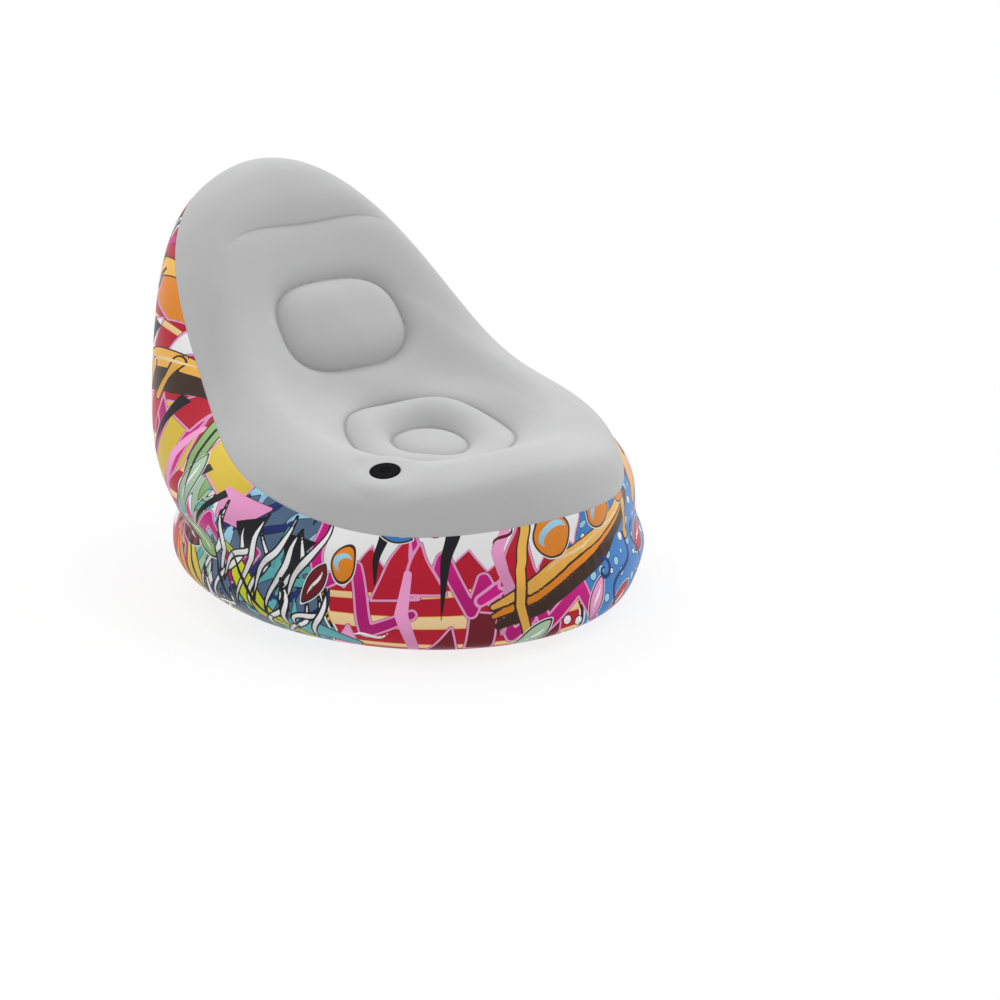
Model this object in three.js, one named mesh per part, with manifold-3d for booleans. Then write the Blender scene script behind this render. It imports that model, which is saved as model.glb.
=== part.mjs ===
// Inflatable lounge chair: welded sheets that hold air, the webs that give them their shape,
// and a flush round air valve in the front rim. Millimetres, +Z up, the sitter faces -Y.
import * as THREE from "three";
import { mergeVertices } from "three/addons/utils/BufferGeometryUtils.js";
import Module from "manifold-3d";

const wasm = await Module();
wasm.setup();

// Driving dimensions of the air body
const HALF_WIDTH = 500;
const BACK_HEIGHT = 831;
const WAIST_HEIGHT = 174;
const SEAT_PAD_RADIUS = 176;
const SEAT_BUTTON_RADIUS = 79;
const SHEET_WALL = 0.8;
const WEB_WALL = 0.6;
const CLEARANCE = 0.3;
const WEB_EDGE_GAP = 1.5;

// Weld grooves and the crowns that the air lifts between them
const WELD_DEPTH = 9;
const WELD_WIDTH = 12;
const SEAT_CROWN = 13;
const SEAT_FRONT_CROWN_SHARE = 0.12;
const SEAT_MIDDLE_HEIGHT = 327;
const SEAT_CLIMB_SHARE = 0.1;
const BUTTON_CROWN = 9;
const LUMBAR_CROWN = 20;
const LUMBAR_WELD_DEPTH = 22;
const LUMBAR_WELD_WIDTH = 18;
const PAD_FULLNESS = 2.5;
const HEADREST_GROOVE_DEPTH = 14;

// Lumbar pad: a rounded rectangle on the inner face of the back
const LUMBAR_HALF_WIDTH = 156;
const LUMBAR_HALF_LENGTH = 108;
const LUMBAR_CENTRE_SHARE = 523 / 831;
const LUMBAR_CENTRE_HEIGHT = BACK_HEIGHT * LUMBAR_CENTRE_SHARE;
const LUMBAR_ROUNDNESS = 3;
const LUMBAR_LEAN = THREE.MathUtils.degToRad(59);

// Air valve
const VALVE_ANGLE = THREE.MathUtils.degToRad(315);
const VALVE_STATION_INDEX = 3.66;
const VALVE_SINK = 4;
const VALVE_RIM_RADIUS = 31;
const VALVE_WELD_FLANGE = 11;
const VALVE_FLANGE_WALL = 1.2;
const VALVE_RIM_WIDTH = 4;
const VALVE_RECESS_DEPTH = 5;
const VALVE_COLLAR_WALL = 2.4;
const VALVE_COLLAR_LENGTH = 19;
const VALVE_BORE_RADIUS = 19.4;
const INSERT_TUBE_WALL = 4;
const INSERT_TUBE_LENGTH = 18;
const INSERT_RIM_WALL = 1.4;
const INSERT_SEAT_WIDTH = 3.4;
const INSERT_FLOOR_WALL = 2;
const INSERT_SPOKES = 4;
const INSERT_SPOKE_WIDTH = 3;
const INSERT_HUB_RADIUS = 5;
const RUNNING_GAP = 0.5;
const SEAL_WALL = 0.8;
const SEAL_WIDTH = 2.6;
const GASKET_WALL = 0.6;
const GASKET_WIDTH = 5;
const CAP_WALL = 1.8;
const CAP_SKIRT_WALL = 2;
const CAP_SKIRT_LENGTH = 8;
const CAP_EDGE_RADIUS = 0.7;
const CAP_GRIP_RADIUS = 11;
const CAP_GRIP_DEPTH = 1;
const CAP_GRIP_WIDTH = 4;
const FLAP_WALL = 0.9;
const FLAP_LAP = 2;
const FLAP_STEM_RADIUS = 1.5;
const FLAP_HEAD_RADIUS = 3;
const FLAP_HEAD_HEIGHT = 1.4;
const FLAP_TRAVEL = 3;

// Vents that let the air pass through the webs
const FLOOR_VENT_RADIUS = 30;
const FLOOR_VENTS = 6;
const FLOOR_VENT_CIRCLE_SHARE = 0.72;
const CURTAIN_VENT_RADIUS = 14;
const CURTAIN_VENTS = 4;
const CURTAIN_VENT_HEIGHT_SHARE = 0.45;

// Facets
const SECTORS = 30;
const BACK_CROWDING_SHARE = 0.28;
const VALVE_POINTS = 24;
const ROUND_SEGMENTS = 36;
const VENT_SEGMENTS = 12;
const SPACING_MARGIN = 10;
const SLOPE_STEP_SHARE = 1e-3;
const CUT_OVERRUN = 5;

const FULL_TURN = 2 * Math.PI;
const BACK_ANGLE = Math.PI;
const UP = new THREE.Vector3(0, 0, 1);

// The body is a family of half sections, one for each angle from the front (-Y) towards +X.
// Every station of the section has five values: front, front corner, side, shoulder and back.
// Between those angles they follow an even cosine wave, so left and right are alike.
const PAD_TO_WIDTH = HALF_WIDTH - SEAT_PAD_RADIUS;
const BACK_RISE = BACK_HEIGHT - WAIST_HEIGHT;

function station(centreShare, baseRadius, radiusSpan, radiusShares, baseHeight, rise, heightShares) {
  return {
    centre: centreShare * HALF_WIDTH,
    radii: radiusShares.map((share) => baseRadius + share * radiusSpan),
    heights: heightShares.map((share) => baseHeight + share * rise),
  };
}

function padStation(centreShare, radii, heights) {
  return station(centreShare, SEAT_PAD_RADIUS, PAD_TO_WIDTH, radii, WAIST_HEIGHT, BACK_RISE, heights);
}

function bodyStation(centreShare, radii, heights) {
  return station(centreShare, 0, HALF_WIDTH, radii, WAIST_HEIGHT, BACK_RISE, heights);
}

function ringStation(radiusShares, heightShares) {
  return station(0, 0, HALF_WIDTH, radiusShares, 0, WAIST_HEIGHT, heightShares);
}

const SEAT_CENTRE_SHARE = -0.17;
const waistShares = [0.996, 0.974, 0.966, 0.97, 0.976];
const waistHeightShares = [1, 1, 1, 1, 1];
const noShares = [0, 0, 0, 0, 0];

// Inner face from the seat's centre over the rim to the seam, then the wall down to the waist
const bodyStations = [
  station(SEAT_CENTRE_SHARE, 0, 0, noShares, WAIST_HEIGHT, BACK_RISE, noShares.map(() => 0.226)),
  padStation(SEAT_CENTRE_SHARE, noShares, [0.243, 0.252, 0.257, 0.303, 0.292]),
  padStation(-0.144, [0.21, 0.225, 0.215, 0.15, 0.04], [0.277, 0.28, 0.31, 0.333, 0.332]),
  padStation(-0.088, [0.389, 0.38, 0.395, 0.47, 0.55], [0.304, 0.288, 0.344, 0.493, 0.674]),
  bodyStation(-0.05, [0.752, 0.736, 0.74, 0.828, 1.08], [0.326, 0.271, 0.314, 0.583, 1]),
  bodyStation(-0.048, [0.928, 0.844, 0.818, 0.918, 1.224], [0.286, 0.222, 0.271, 0.549, 0.982]),
  bodyStation(-0.04, [0.994, 0.902, 0.86, 0.962, 1.35], [0.149, 0.126, 0.237, 0.531, 0.922]),
  bodyStation(0, [1.004, 0.968, 1, 1.114, 1.318], [0.07, 0.052, 0.1, 0.237, 0.461]),
  ringStation(waistShares, waistHeightShares),
];

// Base ring from the waist crease round to the floor
const baseStations = [
  ringStation(waistShares, waistHeightShares),
  ringStation([1.014, 0.98, 0.972, 0.988, 0.994], [0.862, 0.874, 0.897, 0.914, 0.862]),
  ringStation([1.036, 1.014, 1.002, 1.004, 1.02], [0.546, 0.534, 0.534, 0.546, 0.552]),
  ringStation([1.044, 0.964, 0.912, 0.924, 0.97], [0.224, 0.207, 0.23, 0.213, 0.207]),
  ringStation([0.864, 0.8, 0.774, 0.794, 0.828], [0, 0, 0, 0, 0]),
];

const CREST_STATION_INDEX = 4;
const SEAM_STATION_INDEX = 6;
const WAIST_STATION_INDEX = bodyStations.length - 1;
const FLOOR_STATION_INDEX = baseStations.length - 1;

// The even cosine series through five values, at an angle
function evenWave(values, angle) {
  const last = values.length - 1;
  let sum = 0;
  for (let k = 0; k <= last; k++) {
    let coefficient = 0;
    for (let j = 0; j <= last; j++) {
      const half = j === 0 || j === last ? 0.5 : 1;
      coefficient += (half * values[j] * Math.cos((j * k * Math.PI) / last) * 2) / last;
    }
    if (k === 0 || k === last) coefficient /= 2;
    sum += coefficient * Math.cos(k * angle);
  }
  return sum;
}

// One half section: radius, height and centre shift of each station as a vector
function sectionAt(stations, angle) {
  return stations.map(
    (one) => new THREE.Vector3(evenWave(one.radii, angle), evenWave(one.heights, angle), one.centre),
  );
}

// A smooth curve through the stations whose slope at each one is the parabola's slope there
function alongSection(section, s) {
  const last = section.length - 1;
  const chord = (i) => section[i + 1].clone().sub(section[i]);
  const slope = (i) => {
    if (i === 0 && section[0].x === 0) return new THREE.Vector3(1, 0, 0);
    if (i === 0) return chord(0).normalize();
    if (i === last) return chord(last - 1).normalize();
    const before = chord(i - 1);
    const after = chord(i);
    const lengthBefore = before.length();
    const lengthAfter = after.length();
    return before
      .multiplyScalar(lengthAfter / lengthBefore)
      .addScaledVector(after, lengthBefore / lengthAfter)
      .divideScalar(lengthBefore + lengthAfter);
  };
  const i = Math.min(Math.floor(s), last - 1);
  const t = s - i;
  const span = chord(i).length();
  return new THREE.Vector3()
    .addScaledVector(section[i], 2 * t ** 3 - 3 * t ** 2 + 1)
    .addScaledVector(slope(i), (t ** 3 - 2 * t ** 2 + t) * span)
    .addScaledVector(section[i + 1], 3 * t ** 2 - 2 * t ** 3)
    .addScaledVector(slope(i + 1), (t ** 3 - t ** 2) * span);
}

function smoothPoint(stations, angle, s) {
  const at = alongSection(sectionAt(stations, angle), s);
  return new THREE.Vector3(at.x * Math.sin(angle), at.z - at.x * Math.cos(angle), at.y);
}

function smoothNormal(stations, angle, s) {
  const last = stations.length - 1;
  const low = Math.max(s - SLOPE_STEP_SHARE, 0);
  const high = Math.min(s + SLOPE_STEP_SHARE, last);
  const down = smoothPoint(stations, angle, high).sub(smoothPoint(stations, angle, low));
  const before = smoothPoint(stations, angle - SLOPE_STEP_SHARE, s);
  const round = smoothPoint(stations, angle + SLOPE_STEP_SHARE, s).sub(before);
  return s === 0 ? UP.clone() : down.cross(round).normalize();
}

const gaussian = (distance, width) => Math.exp(-((distance / width) ** 2));
const crown = (share) => (share > 0 && share < 1 ? Math.sin(share * Math.PI) : 0);
const dome = (share) => (share < 1 ? 1 - share ** PAD_FULLNESS : 0);

// Inside the seat's outer weld the sheet lies in a plane that climbs towards the back, and swings
// up to the weld from the button's weld outwards
function inSeat(point, angle) {
  const backwards = point.y - SEAT_CENTRE_SHARE * HALF_WIDTH;
  const reach = Math.hypot(point.x, backwards);
  const ringShare = (reach - SEAT_BUTTON_RADIUS) / (SEAT_PAD_RADIUS - SEAT_BUTTON_RADIUS);
  const swing = Math.sin((THREE.MathUtils.clamp(ringShare, 0, 1) * Math.PI) / 2);
  const plane = SEAT_MIDDLE_HEIGHT + SEAT_CLIMB_SHARE * backwards;
  return point.setZ(THREE.MathUtils.lerp(plane, evenWave(bodyStations[1].heights, angle), swing));
}

// Seat: a ring pad between two round welds, fuller at the back, and a button inside the smaller one
function seatRelief(point) {
  const backwards = point.y - SEAT_CENTRE_SHARE * HALF_WIDTH;
  const reach = Math.hypot(point.x, backwards);
  const backShare = reach > 0 ? (1 + backwards / reach) / 2 : 0;
  const fullness = THREE.MathUtils.lerp(SEAT_FRONT_CROWN_SHARE, 1, backShare);
  const outerWeld = gaussian(reach - SEAT_PAD_RADIUS, WELD_WIDTH);
  const buttonWeld = gaussian(reach - SEAT_BUTTON_RADIUS, WELD_WIDTH);
  const ringShare = (reach - SEAT_BUTTON_RADIUS) / (SEAT_PAD_RADIUS - SEAT_BUTTON_RADIUS);
  const ringCrown = SEAT_CROWN * fullness * crown(ringShare);
  const crowns = ringCrown + BUTTON_CROWN * dome(reach / SEAT_BUTTON_RADIUS);
  return crowns - WELD_DEPTH * (outerWeld + buttonWeld);
}

// Lumbar pad: across is along X, along climbs the back's inner face
const LUMBAR_UP = new THREE.Vector3(0, Math.cos(LUMBAR_LEAN), Math.sin(LUMBAR_LEAN));
const lumbarAlong = (point) => point.dot(LUMBAR_UP);

const BACK_LOWEST_STATION_INDEX = 1.2;
const BACK_HIGHEST_STATION_INDEX = 3.9;
const HALVING_COUNT = 30;

// The last station of the inner face for which a test still holds, by halving
function lastStation(holds) {
  let low = BACK_LOWEST_STATION_INDEX;
  let high = BACK_HIGHEST_STATION_INDEX;
  for (let n = 0; n < HALVING_COUNT; n++) {
    const s = (low + high) / 2;
    if (holds(s)) low = s;
    else high = s;
  }
  return low;
}

// Angle and station of the inner face's point with this X and this place along the back
function backFaceAt(x, along) {
  let angle = BACK_ANGLE;
  const s = lastStation((at) => {
    const radius = alongSection(sectionAt(bodyStations, angle), at).x;
    angle = BACK_ANGLE - Math.asin(THREE.MathUtils.clamp(x / radius, -1, 1));
    return lumbarAlong(smoothPoint(bodyStations, angle, at)) < along;
  });
  return { angle, s };
}

const atBack = (s) => smoothPoint(bodyStations, BACK_ANGLE, s);
const LUMBAR_STATION_INDEX = lastStation((s) => atBack(s).z < LUMBAR_CENTRE_HEIGHT);
const LUMBAR_CENTRE_ALONG = lumbarAlong(atBack(LUMBAR_STATION_INDEX));

// 0 at the pad's centre, 1 on its weld
function lumbarShare(point) {
  const across = Math.abs(point.x) / LUMBAR_HALF_WIDTH;
  const along = Math.abs(lumbarAlong(point) - LUMBAR_CENTRE_ALONG) / LUMBAR_HALF_LENGTH;
  return (across ** LUMBAR_ROUNDNESS + along ** LUMBAR_ROUNDNESS) ** (1 / LUMBAR_ROUNDNESS);
}

function lumbarRelief(point) {
  const share = lumbarShare(point);
  const weld = gaussian((share - 1) * LUMBAR_HALF_LENGTH, LUMBAR_WELD_WIDTH);
  return LUMBAR_CROWN * dome(share) - LUMBAR_WELD_DEPTH * weld;
}

// Headrest groove: a weld across the back that fades out towards both sides
const HEADREST_STATION_INDEX = 3.38;
const HEADREST_STATION_RISE_SHARE = 0.35;
const HEADREST_HALF_ANGLE = THREE.MathUtils.degToRad(30);
const HEADREST_GROOVE_SPAN_SHARE = 0.09;

// How far an angle is from the middle of the back, as a share of the groove's half angle
const headrestAway = (angle) => Math.abs(angle - BACK_ANGLE) / HEADREST_HALF_ANGLE;

function headrestStation(angle) {
  return HEADREST_STATION_INDEX + HEADREST_STATION_RISE_SHARE * Math.min(headrestAway(angle), 1) ** 2;
}

function headrestRelief(angle, s) {
  const away = headrestAway(angle);
  const fade = away < 1 ? Math.cos((away * Math.PI) / 2) : 0;
  return -HEADREST_GROOVE_DEPTH * fade * gaussian(s - headrestStation(angle), HEADREST_GROOVE_SPAN_SHARE);
}

// The flocked face with its welds and crowns
function facePoint(angle, s) {
  const smooth = smoothPoint(bodyStations, angle, s);
  const base = s < 1 ? inSeat(smooth, angle) : smooth;
  const normal = smoothNormal(bodyStations, angle, s);
  const onInnerFace = s < CREST_STATION_INDEX;
  const seat = onInnerFace ? seatRelief(base) : 0;
  const lumbar = onInnerFace ? lumbarRelief(base) : 0;
  return base.addScaledVector(normal, seat + lumbar + headrestRelief(angle, s));
}

// A sheet's outer face is a list of points and triangles. Its wall is laid inwards.
class Face {
  constructor() {
    this.points = [];
    this.triangles = [];
    this.fixedNormals = new Map();
  }

  add(point) {
    this.points.push(point);
    return this.points.length - 1;
  }

  // A ring or strip of quads between two rows of point numbers
  join(rowA, rowB, closed = true) {
    const count = closed ? rowA.length : rowA.length - 1;
    for (let j = 0; j < count; j++) {
      const next = (j + 1) % rowA.length;
      this.triangles.push([rowA[j], rowB[j], rowB[next]]);
      this.triangles.push([rowA[j], rowB[next], rowA[next]]);
    }
  }

  // A strip from a ring of points to a ring of twice as many
  joinDoubling(few, many) {
    few.forEach((point, j) => {
      const next = few[(j + 1) % few.length];
      const [first, middle, last] = [0, 1, 2].map((step) => many[(2 * j + step) % many.length]);
      this.triangles.push([point, first, middle], [point, middle, next], [next, middle, last]);
    });
  }

  fan(centre, row, inward = false) {
    row.forEach((point, j) => {
      const next = row[(j + 1) % row.length];
      this.triangles.push(inward ? [centre, next, point] : [centre, point, next]);
    });
  }

  // Fills the space between a loop and a loop inside it, both running the same way round.
  // Each step goes on along the loop whose next point comes first in turn.
  stitch(inner, outer, turnOf) {
    const start = turnOf(this.points[outer[0]]);
    const past = (i) => (turnOf(this.points[i]) - start + 2 * FULL_TURN) % FULL_TURN;
    const inOrder = (loop) => {
      const steps = loop.map((i) => ({ i, turn: past(i) })).sort((a, b) => a.turn - b.turn);
      return [...steps, { i: steps[0].i, turn: steps[0].turn + FULL_TURN }];
    };
    const near = inOrder(inner);
    const far = inOrder(outer);
    let a = 0;
    let b = 0;
    while (a < near.length - 1 || b < far.length - 1) {
      const nearLeft = a < near.length - 1;
      const stepNear = nearLeft && (b === far.length - 1 || near[a + 1].turn < far[b + 1].turn);
      const next = stepNear ? near[a + 1] : far[b + 1];
      this.triangles.push([near[a].i, far[b].i, next.i]);
      if (stepNear) a++;
      else b++;
    }
  }

  normals() {
    const sums = this.points.map(() => new THREE.Vector3());
    for (const corners of this.triangles) {
      const [a, b, c] = corners.map((i) => this.points[i]);
      const area = b.clone().sub(a).cross(c.clone().sub(a));
      corners.forEach((i) => sums[i].add(area));
    }
    this.fixedNormals.forEach((normal, i) => sums[i].copy(normal));
    return sums.map((sum) => sum.normalize());
  }

  // The triangles of the wall's inner side, for what seats against it from inside
  innerTriangles(wall) {
    const normals = this.normals();
    const inner = this.points.map((point, i) => point.clone().addScaledVector(normals[i], -wall));
    return this.triangles.map((corners) => corners.map((i) => inner[i]));
  }

  geometry(wall) {
    const normals = this.normals();
    const inner = this.points.map((point, i) => point.clone().addScaledVector(normals[i], -wall));
    const all = [...this.points, ...inner];
    const count = this.points.length;
    const edges = new Set(this.triangles.flatMap(([a, b, c]) => [a + "_" + b, b + "_" + c, c + "_" + a]));
    const faces = [];
    for (const [a, b, c] of this.triangles) {
      faces.push([a, b, c], [a + count, c + count, b + count]);
      for (const [from, to] of [[a, b], [b, c], [c, a]]) {
        if (edges.has(to + "_" + from)) continue;
        faces.push([from, from + count, to + count], [from, to + count, to]);
      }
    }
    const made = new THREE.BufferGeometry();
    const coordinates = all.flatMap((point) => [point.x, point.y, point.z]);
    made.setAttribute("position", new THREE.Float32BufferAttribute(coordinates, 3));
    made.setIndex(faces.flat());
    made.computeVertexNormals();
    return made;
  }
}

// Solid joins and cuts
function toSolid(geometry, matrix = new THREE.Matrix4()) {
  const bare = new THREE.BufferGeometry();
  bare.setAttribute("position", geometry.getAttribute("position").clone());
  if (geometry.index) bare.setIndex(geometry.index.clone());
  bare.applyMatrix4(matrix);
  const merged = mergeVertices(bare, SLOPE_STEP_SHARE);
  return new wasm.Manifold(
    new wasm.Mesh({
      numProp: 3,
      vertProperties: new Float32Array(merged.attributes.position.array),
      triVerts: new Uint32Array(merged.index.array),
    }),
  );
}

function fromSolid(solid) {
  const mesh = solid.getMesh();
  const made = new THREE.BufferGeometry();
  made.setAttribute("position", new THREE.BufferAttribute(new Float32Array(mesh.vertProperties), 3));
  made.setIndex(new THREE.BufferAttribute(new Uint32Array(mesh.triVerts), 1));
  made.computeVertexNormals();
  return made;
}

const along = (x, y, z) => new THREE.Matrix4().makeTranslation(x, y, z);

// A cylinder along Z from one height to another
function post(radius, bottom, top, segments) {
  return new THREE.CylinderGeometry(radius, radius, top - bottom, segments)
    .rotateX(Math.PI / 2)
    .translate(0, 0, (top + bottom) / 2);
}

// A revolved piece about Z from its closed outline of [radius, height] pairs, counterclockwise
function turned(outline) {
  const closed = [...outline, outline[0]].map(([radius, height]) => new THREE.Vector2(radius, height));
  return new THREE.LatheGeometry(closed, ROUND_SEGMENTS).rotateX(Math.PI / 2);
}

function material(color, roughness, metalness = 0) {
  return new THREE.MeshStandardMaterial({ color, roughness, metalness });
}

const flock = material(0xb4b4b4, 0.95);
const printedVinyl = material(0xb3303f, 0.35);
const floorVinyl = material(0x8c8f92, 0.5);
const webVinyl = material(0xd9dadc, 0.45);
const blackPlastic = material(0x1b1b1d, 0.45);
const blackRubber = material(0x101011, 0.8);
const palePlastic = material(0x3a3b3e, 0.5);

const chair = new THREE.Group();
chair.name = "inflatable_chair";

function addPiece(name, geometry, look, parent = chair) {
  const mesh = new THREE.Mesh(geometry, look);
  mesh.name = name;
  parent.add(mesh);
  return mesh;
}

// The valve's place: its plane lies a little below the rim's crest at the front corner
const valveNormal = smoothNormal(bodyStations, VALVE_ANGLE, VALVE_STATION_INDEX);
const valveCentre = smoothPoint(bodyStations, VALVE_ANGLE, VALVE_STATION_INDEX);
valveCentre.addScaledVector(valveNormal, -VALVE_SINK);
const valveAcross = UP.clone().cross(valveNormal).normalize();
const valveAlong = valveNormal.clone().cross(valveAcross);
const VALVE_HOLE_RADIUS = VALVE_RIM_RADIUS + CLEARANCE;
const VALVE_PATCH_RADIUS = VALVE_RIM_RADIUS + VALVE_WELD_FLANGE + CLEARANCE;

// The direction from the valve's axis to a point
function valveTurn(point) {
  const away = point.clone().sub(valveCentre);
  return Math.atan2(away.dot(valveAlong), away.dot(valveAcross));
}

function valveLoop(radius) {
  return Array.from({ length: VALVE_POINTS }, (_, k) => {
    const turn = (FULL_TURN * k) / VALVE_POINTS;
    return valveCentre
      .clone()
      .addScaledVector(valveAcross, radius * Math.cos(turn))
      .addScaledVector(valveAlong, radius * Math.sin(turn));
  });
}

// A point of the lumbar pad in a direction from its centre, at a share of the way to its weld
function lumbarPoint(turn, share) {
  const across = Math.cos(turn);
  const up = Math.sin(turn);
  const power = LUMBAR_ROUNDNESS;
  const reach = share / (Math.abs(across) ** power + Math.abs(up) ** power) ** (1 / power);
  const x = across * reach * LUMBAR_HALF_WIDTH;
  const at = backFaceAt(x, LUMBAR_CENTRE_ALONG + up * reach * LUMBAR_HALF_LENGTH);
  return facePoint(at.angle, at.s);
}

// Columns run round the body, closer together at the back, where the body is highest
const columns = Array.from({ length: SECTORS }, (_, j) => {
  const turn = (FULL_TURN * j) / SECTORS;
  return turn + BACK_CROWDING_SHARE * Math.sin(turn);
});
const seatColumns = columns.filter((_, j) => j % 2 === 0);

// Rings of the seat's welds and crown, and rings from its outer weld to the seam
const WELD_SHOULDER = WELD_WIDTH * 1.6;
const seatRingRadii = [
  SEAT_BUTTON_RADIUS / 2,
  SEAT_BUTTON_RADIUS,
  SEAT_BUTTON_RADIUS + WELD_SHOULDER,
  (SEAT_BUTTON_RADIUS + SEAT_PAD_RADIUS) / 2,
  SEAT_PAD_RADIUS - WELD_SHOULDER,
];
const BUTTON_RING_INDEX = 1;
const LUMBAR_OUTER_SHARE = 1.14;
const seamNormal = (angle) => smoothNormal(bodyStations, angle, SEAM_STATION_INDEX);
const lumbarReach = LUMBAR_HALF_LENGTH * LUMBAR_OUTER_SHARE + SPACING_MARGIN;
const placeAtBack = (s) => lumbarAlong(atBack(s));
const belowLumbar = lastStation((s) => placeAtBack(s) < LUMBAR_CENTRE_ALONG - lumbarReach);
const aboveLumbar = lastStation((s) => placeAtBack(s) < LUMBAR_CENTRE_ALONG + lumbarReach);
const OUTSIDE_SEAT_STATION_INDEX = 1.35;
const HEADREST_RING_STEP_SHARE = 0.16;
const SIDE_RING_STATION_INDEX = 3.56;
const SIDE_RING_STEP_SHARE = 0.23;

// A ring near the headrest groove, that opens out to even spacing beyond the groove's ends
function headrestRing(step) {
  return (angle) => {
    const open = THREE.MathUtils.clamp(headrestAway(angle) - 1, 0, 1);
    const near = headrestStation(angle) + step * HEADREST_RING_STEP_SHARE;
    return THREE.MathUtils.lerp(near, SIDE_RING_STATION_INDEX + step * SIDE_RING_STEP_SHARE, open);
  };
}

const levelRing = (s) => () => s;
const lumbarRing = (share) => levelRing(THREE.MathUtils.lerp(belowLumbar, aboveLumbar, share));
const LUMBAR_RINGS = [0, 1 / 3, 2 / 3, 1];
const flockRings = [
  levelRing(1),
  levelRing(OUTSIDE_SEAT_STATION_INDEX),
  ...LUMBAR_RINGS.map(lumbarRing),
  headrestRing(-1),
  headrestRing(0),
  headrestRing(1),
  ...[CREST_STATION_INDEX, 4.5, 5, 5.5, SEAM_STATION_INDEX].map(levelRing),
];
const LUMBAR_LOW_RING_INDEX = 2;
const LUMBAR_HIGH_RING_INDEX = LUMBAR_LOW_RING_INDEX + LUMBAR_RINGS.length - 1;
const HEADREST_RING_INDEX = LUMBAR_HIGH_RING_INDEX + 2;

// The edge of a block of grid cells, which is left open for an island of its own
function loopOfBlock(rows, block) {
  const at = (i, j) => rows[i][j % SECTORS];
  const loop = [];
  for (let i = block.low; i < block.high; i++) loop.push(at(i, block.first));
  for (let j = block.first; j < block.last; j++) loop.push(at(block.high, j));
  for (let i = block.high; i > block.low; i--) loop.push(at(i, block.last));
  for (let j = block.last; j > block.first; j--) loop.push(at(block.low, j));
  return loop;
}

// The columns on either side of an angle, a sweep away from it
function columnsAbout(angle, sweep) {
  const first = columns.findLastIndex((column) => column < angle - sweep);
  const last = columns.findIndex((column) => column > angle + sweep);
  return { first, last: last < 0 ? SECTORS : last };
}

function valveBlock() {
  const reach = VALVE_PATCH_RADIUS + SPACING_MARGIN;
  const radius = evenWave(bodyStations[Math.round(VALVE_STATION_INDEX)].radii, VALVE_ANGLE);
  const onRings = flockRings.map((ring) => facePoint(VALVE_ANGLE, ring(VALVE_ANGLE)));
  const distance = onRings.map((point) => point.distanceTo(valveCentre));
  const nearest = distance.indexOf(Math.min(...distance));
  return {
    low: distance.findLastIndex((away, i) => i < nearest && away > reach),
    high: distance.findIndex((away, i) => i > nearest && away > reach),
    ...columnsAbout(VALVE_ANGLE, reach / radius),
  };
}

function lumbarBlock() {
  const radius = evenWave(bodyStations[Math.round(LUMBAR_STATION_INDEX)].radii, BACK_ANGLE);
  const halfWidth = LUMBAR_HALF_WIDTH * LUMBAR_OUTER_SHARE + SPACING_MARGIN;
  const sweep = Math.asin(Math.min(halfWidth / radius, 1));
  return { low: LUMBAR_LOW_RING_INDEX, high: LUMBAR_HIGH_RING_INDEX, ...columnsAbout(BACK_ANGLE, sweep) };
}

const inBlock = (block, i, j) => i >= block.low && i < block.high && j >= block.first && j < block.last;

const LUMBAR_LOOP_SHARES = [LUMBAR_OUTER_SHARE, 1, 0.84, 0.5];

// The direction from the lumbar pad's centre to a point, in the pad's own proportions
function lumbarTurn(point) {
  const up = (lumbarAlong(point) - LUMBAR_CENTRE_ALONG) / LUMBAR_HALF_LENGTH;
  return Math.atan2(up, point.x / LUMBAR_HALF_WIDTH);
}

function flockedFace() {
  const face = new Face();
  const pole = face.add(facePoint(0, 0));
  const seatRows = seatRingRadii.map((radius) =>
    seatColumns.map((angle) => face.add(facePoint(angle, radius / SEAT_PAD_RADIUS))),
  );
  const rows = flockRings.map((ring) => columns.map((angle) => face.add(facePoint(angle, ring(angle)))));
  const valveOpen = valveBlock();
  const lumbarOpen = lumbarBlock();
  face.fan(pole, seatRows[0]);
  for (let i = 0; i < seatRows.length - 1; i++) face.join(seatRows[i], seatRows[i + 1]);
  face.joinDoubling(seatRows.at(-1), rows[0]);
  for (let i = 0; i < rows.length - 1; i++) {
    for (let j = 0; j < SECTORS; j++) {
      if (inBlock(valveOpen, i, j) || inBlock(lumbarOpen, i, j)) continue;
      const next = (j + 1) % SECTORS;
      face.join([rows[i][j], rows[i][next]], [rows[i + 1][j], rows[i + 1][next]], false);
    }
  }
  const patch = valveLoop(VALVE_PATCH_RADIUS).map((point) => face.add(point));
  const hole = valveLoop(VALVE_HOLE_RADIUS).map((point) => face.add(point));
  face.stitch(patch, loopOfBlock(rows, valveOpen), valveTurn);
  face.join(hole, patch);
  [...hole, ...patch].forEach((i) => face.fixedNormals.set(i, valveNormal));
  const opening = loopOfBlock(rows, lumbarOpen);
  const turns = opening.map((i) => lumbarTurn(face.points[i]));
  const loops = LUMBAR_LOOP_SHARES.map((share) => turns.map((turn) => face.add(lumbarPoint(turn, share))));
  face.join(loops[0], opening);
  for (let k = 1; k < loops.length; k++) face.join(loops[k], loops[k - 1]);
  face.fan(face.add(lumbarPoint(0, 0)), loops.at(-1));
  rows.at(-1).forEach((i, j) => face.fixedNormals.set(i, seamNormal(columns[j])));
  return { face, rows, seatRows, weld: loops[1] };
}

// Printed wall: one sheet from the seam over the bulge, in at the waist, round the base ring
const wallRings = [6.35, 6.7, 7, 7.35, 7.7];
const baseRings = [0, 0.5, 1, 1.5, 2, 2.5, 3, 3.5, FLOOR_STATION_INDEX];

function seamEdge(angle) {
  const start = smoothPoint(bodyStations, angle, SEAM_STATION_INDEX);
  const onward = smoothPoint(bodyStations, angle, SEAM_STATION_INDEX + SLOPE_STEP_SHARE);
  onward.sub(start).normalize();
  return start.addScaledVector(onward, CLEARANCE);
}

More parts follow.
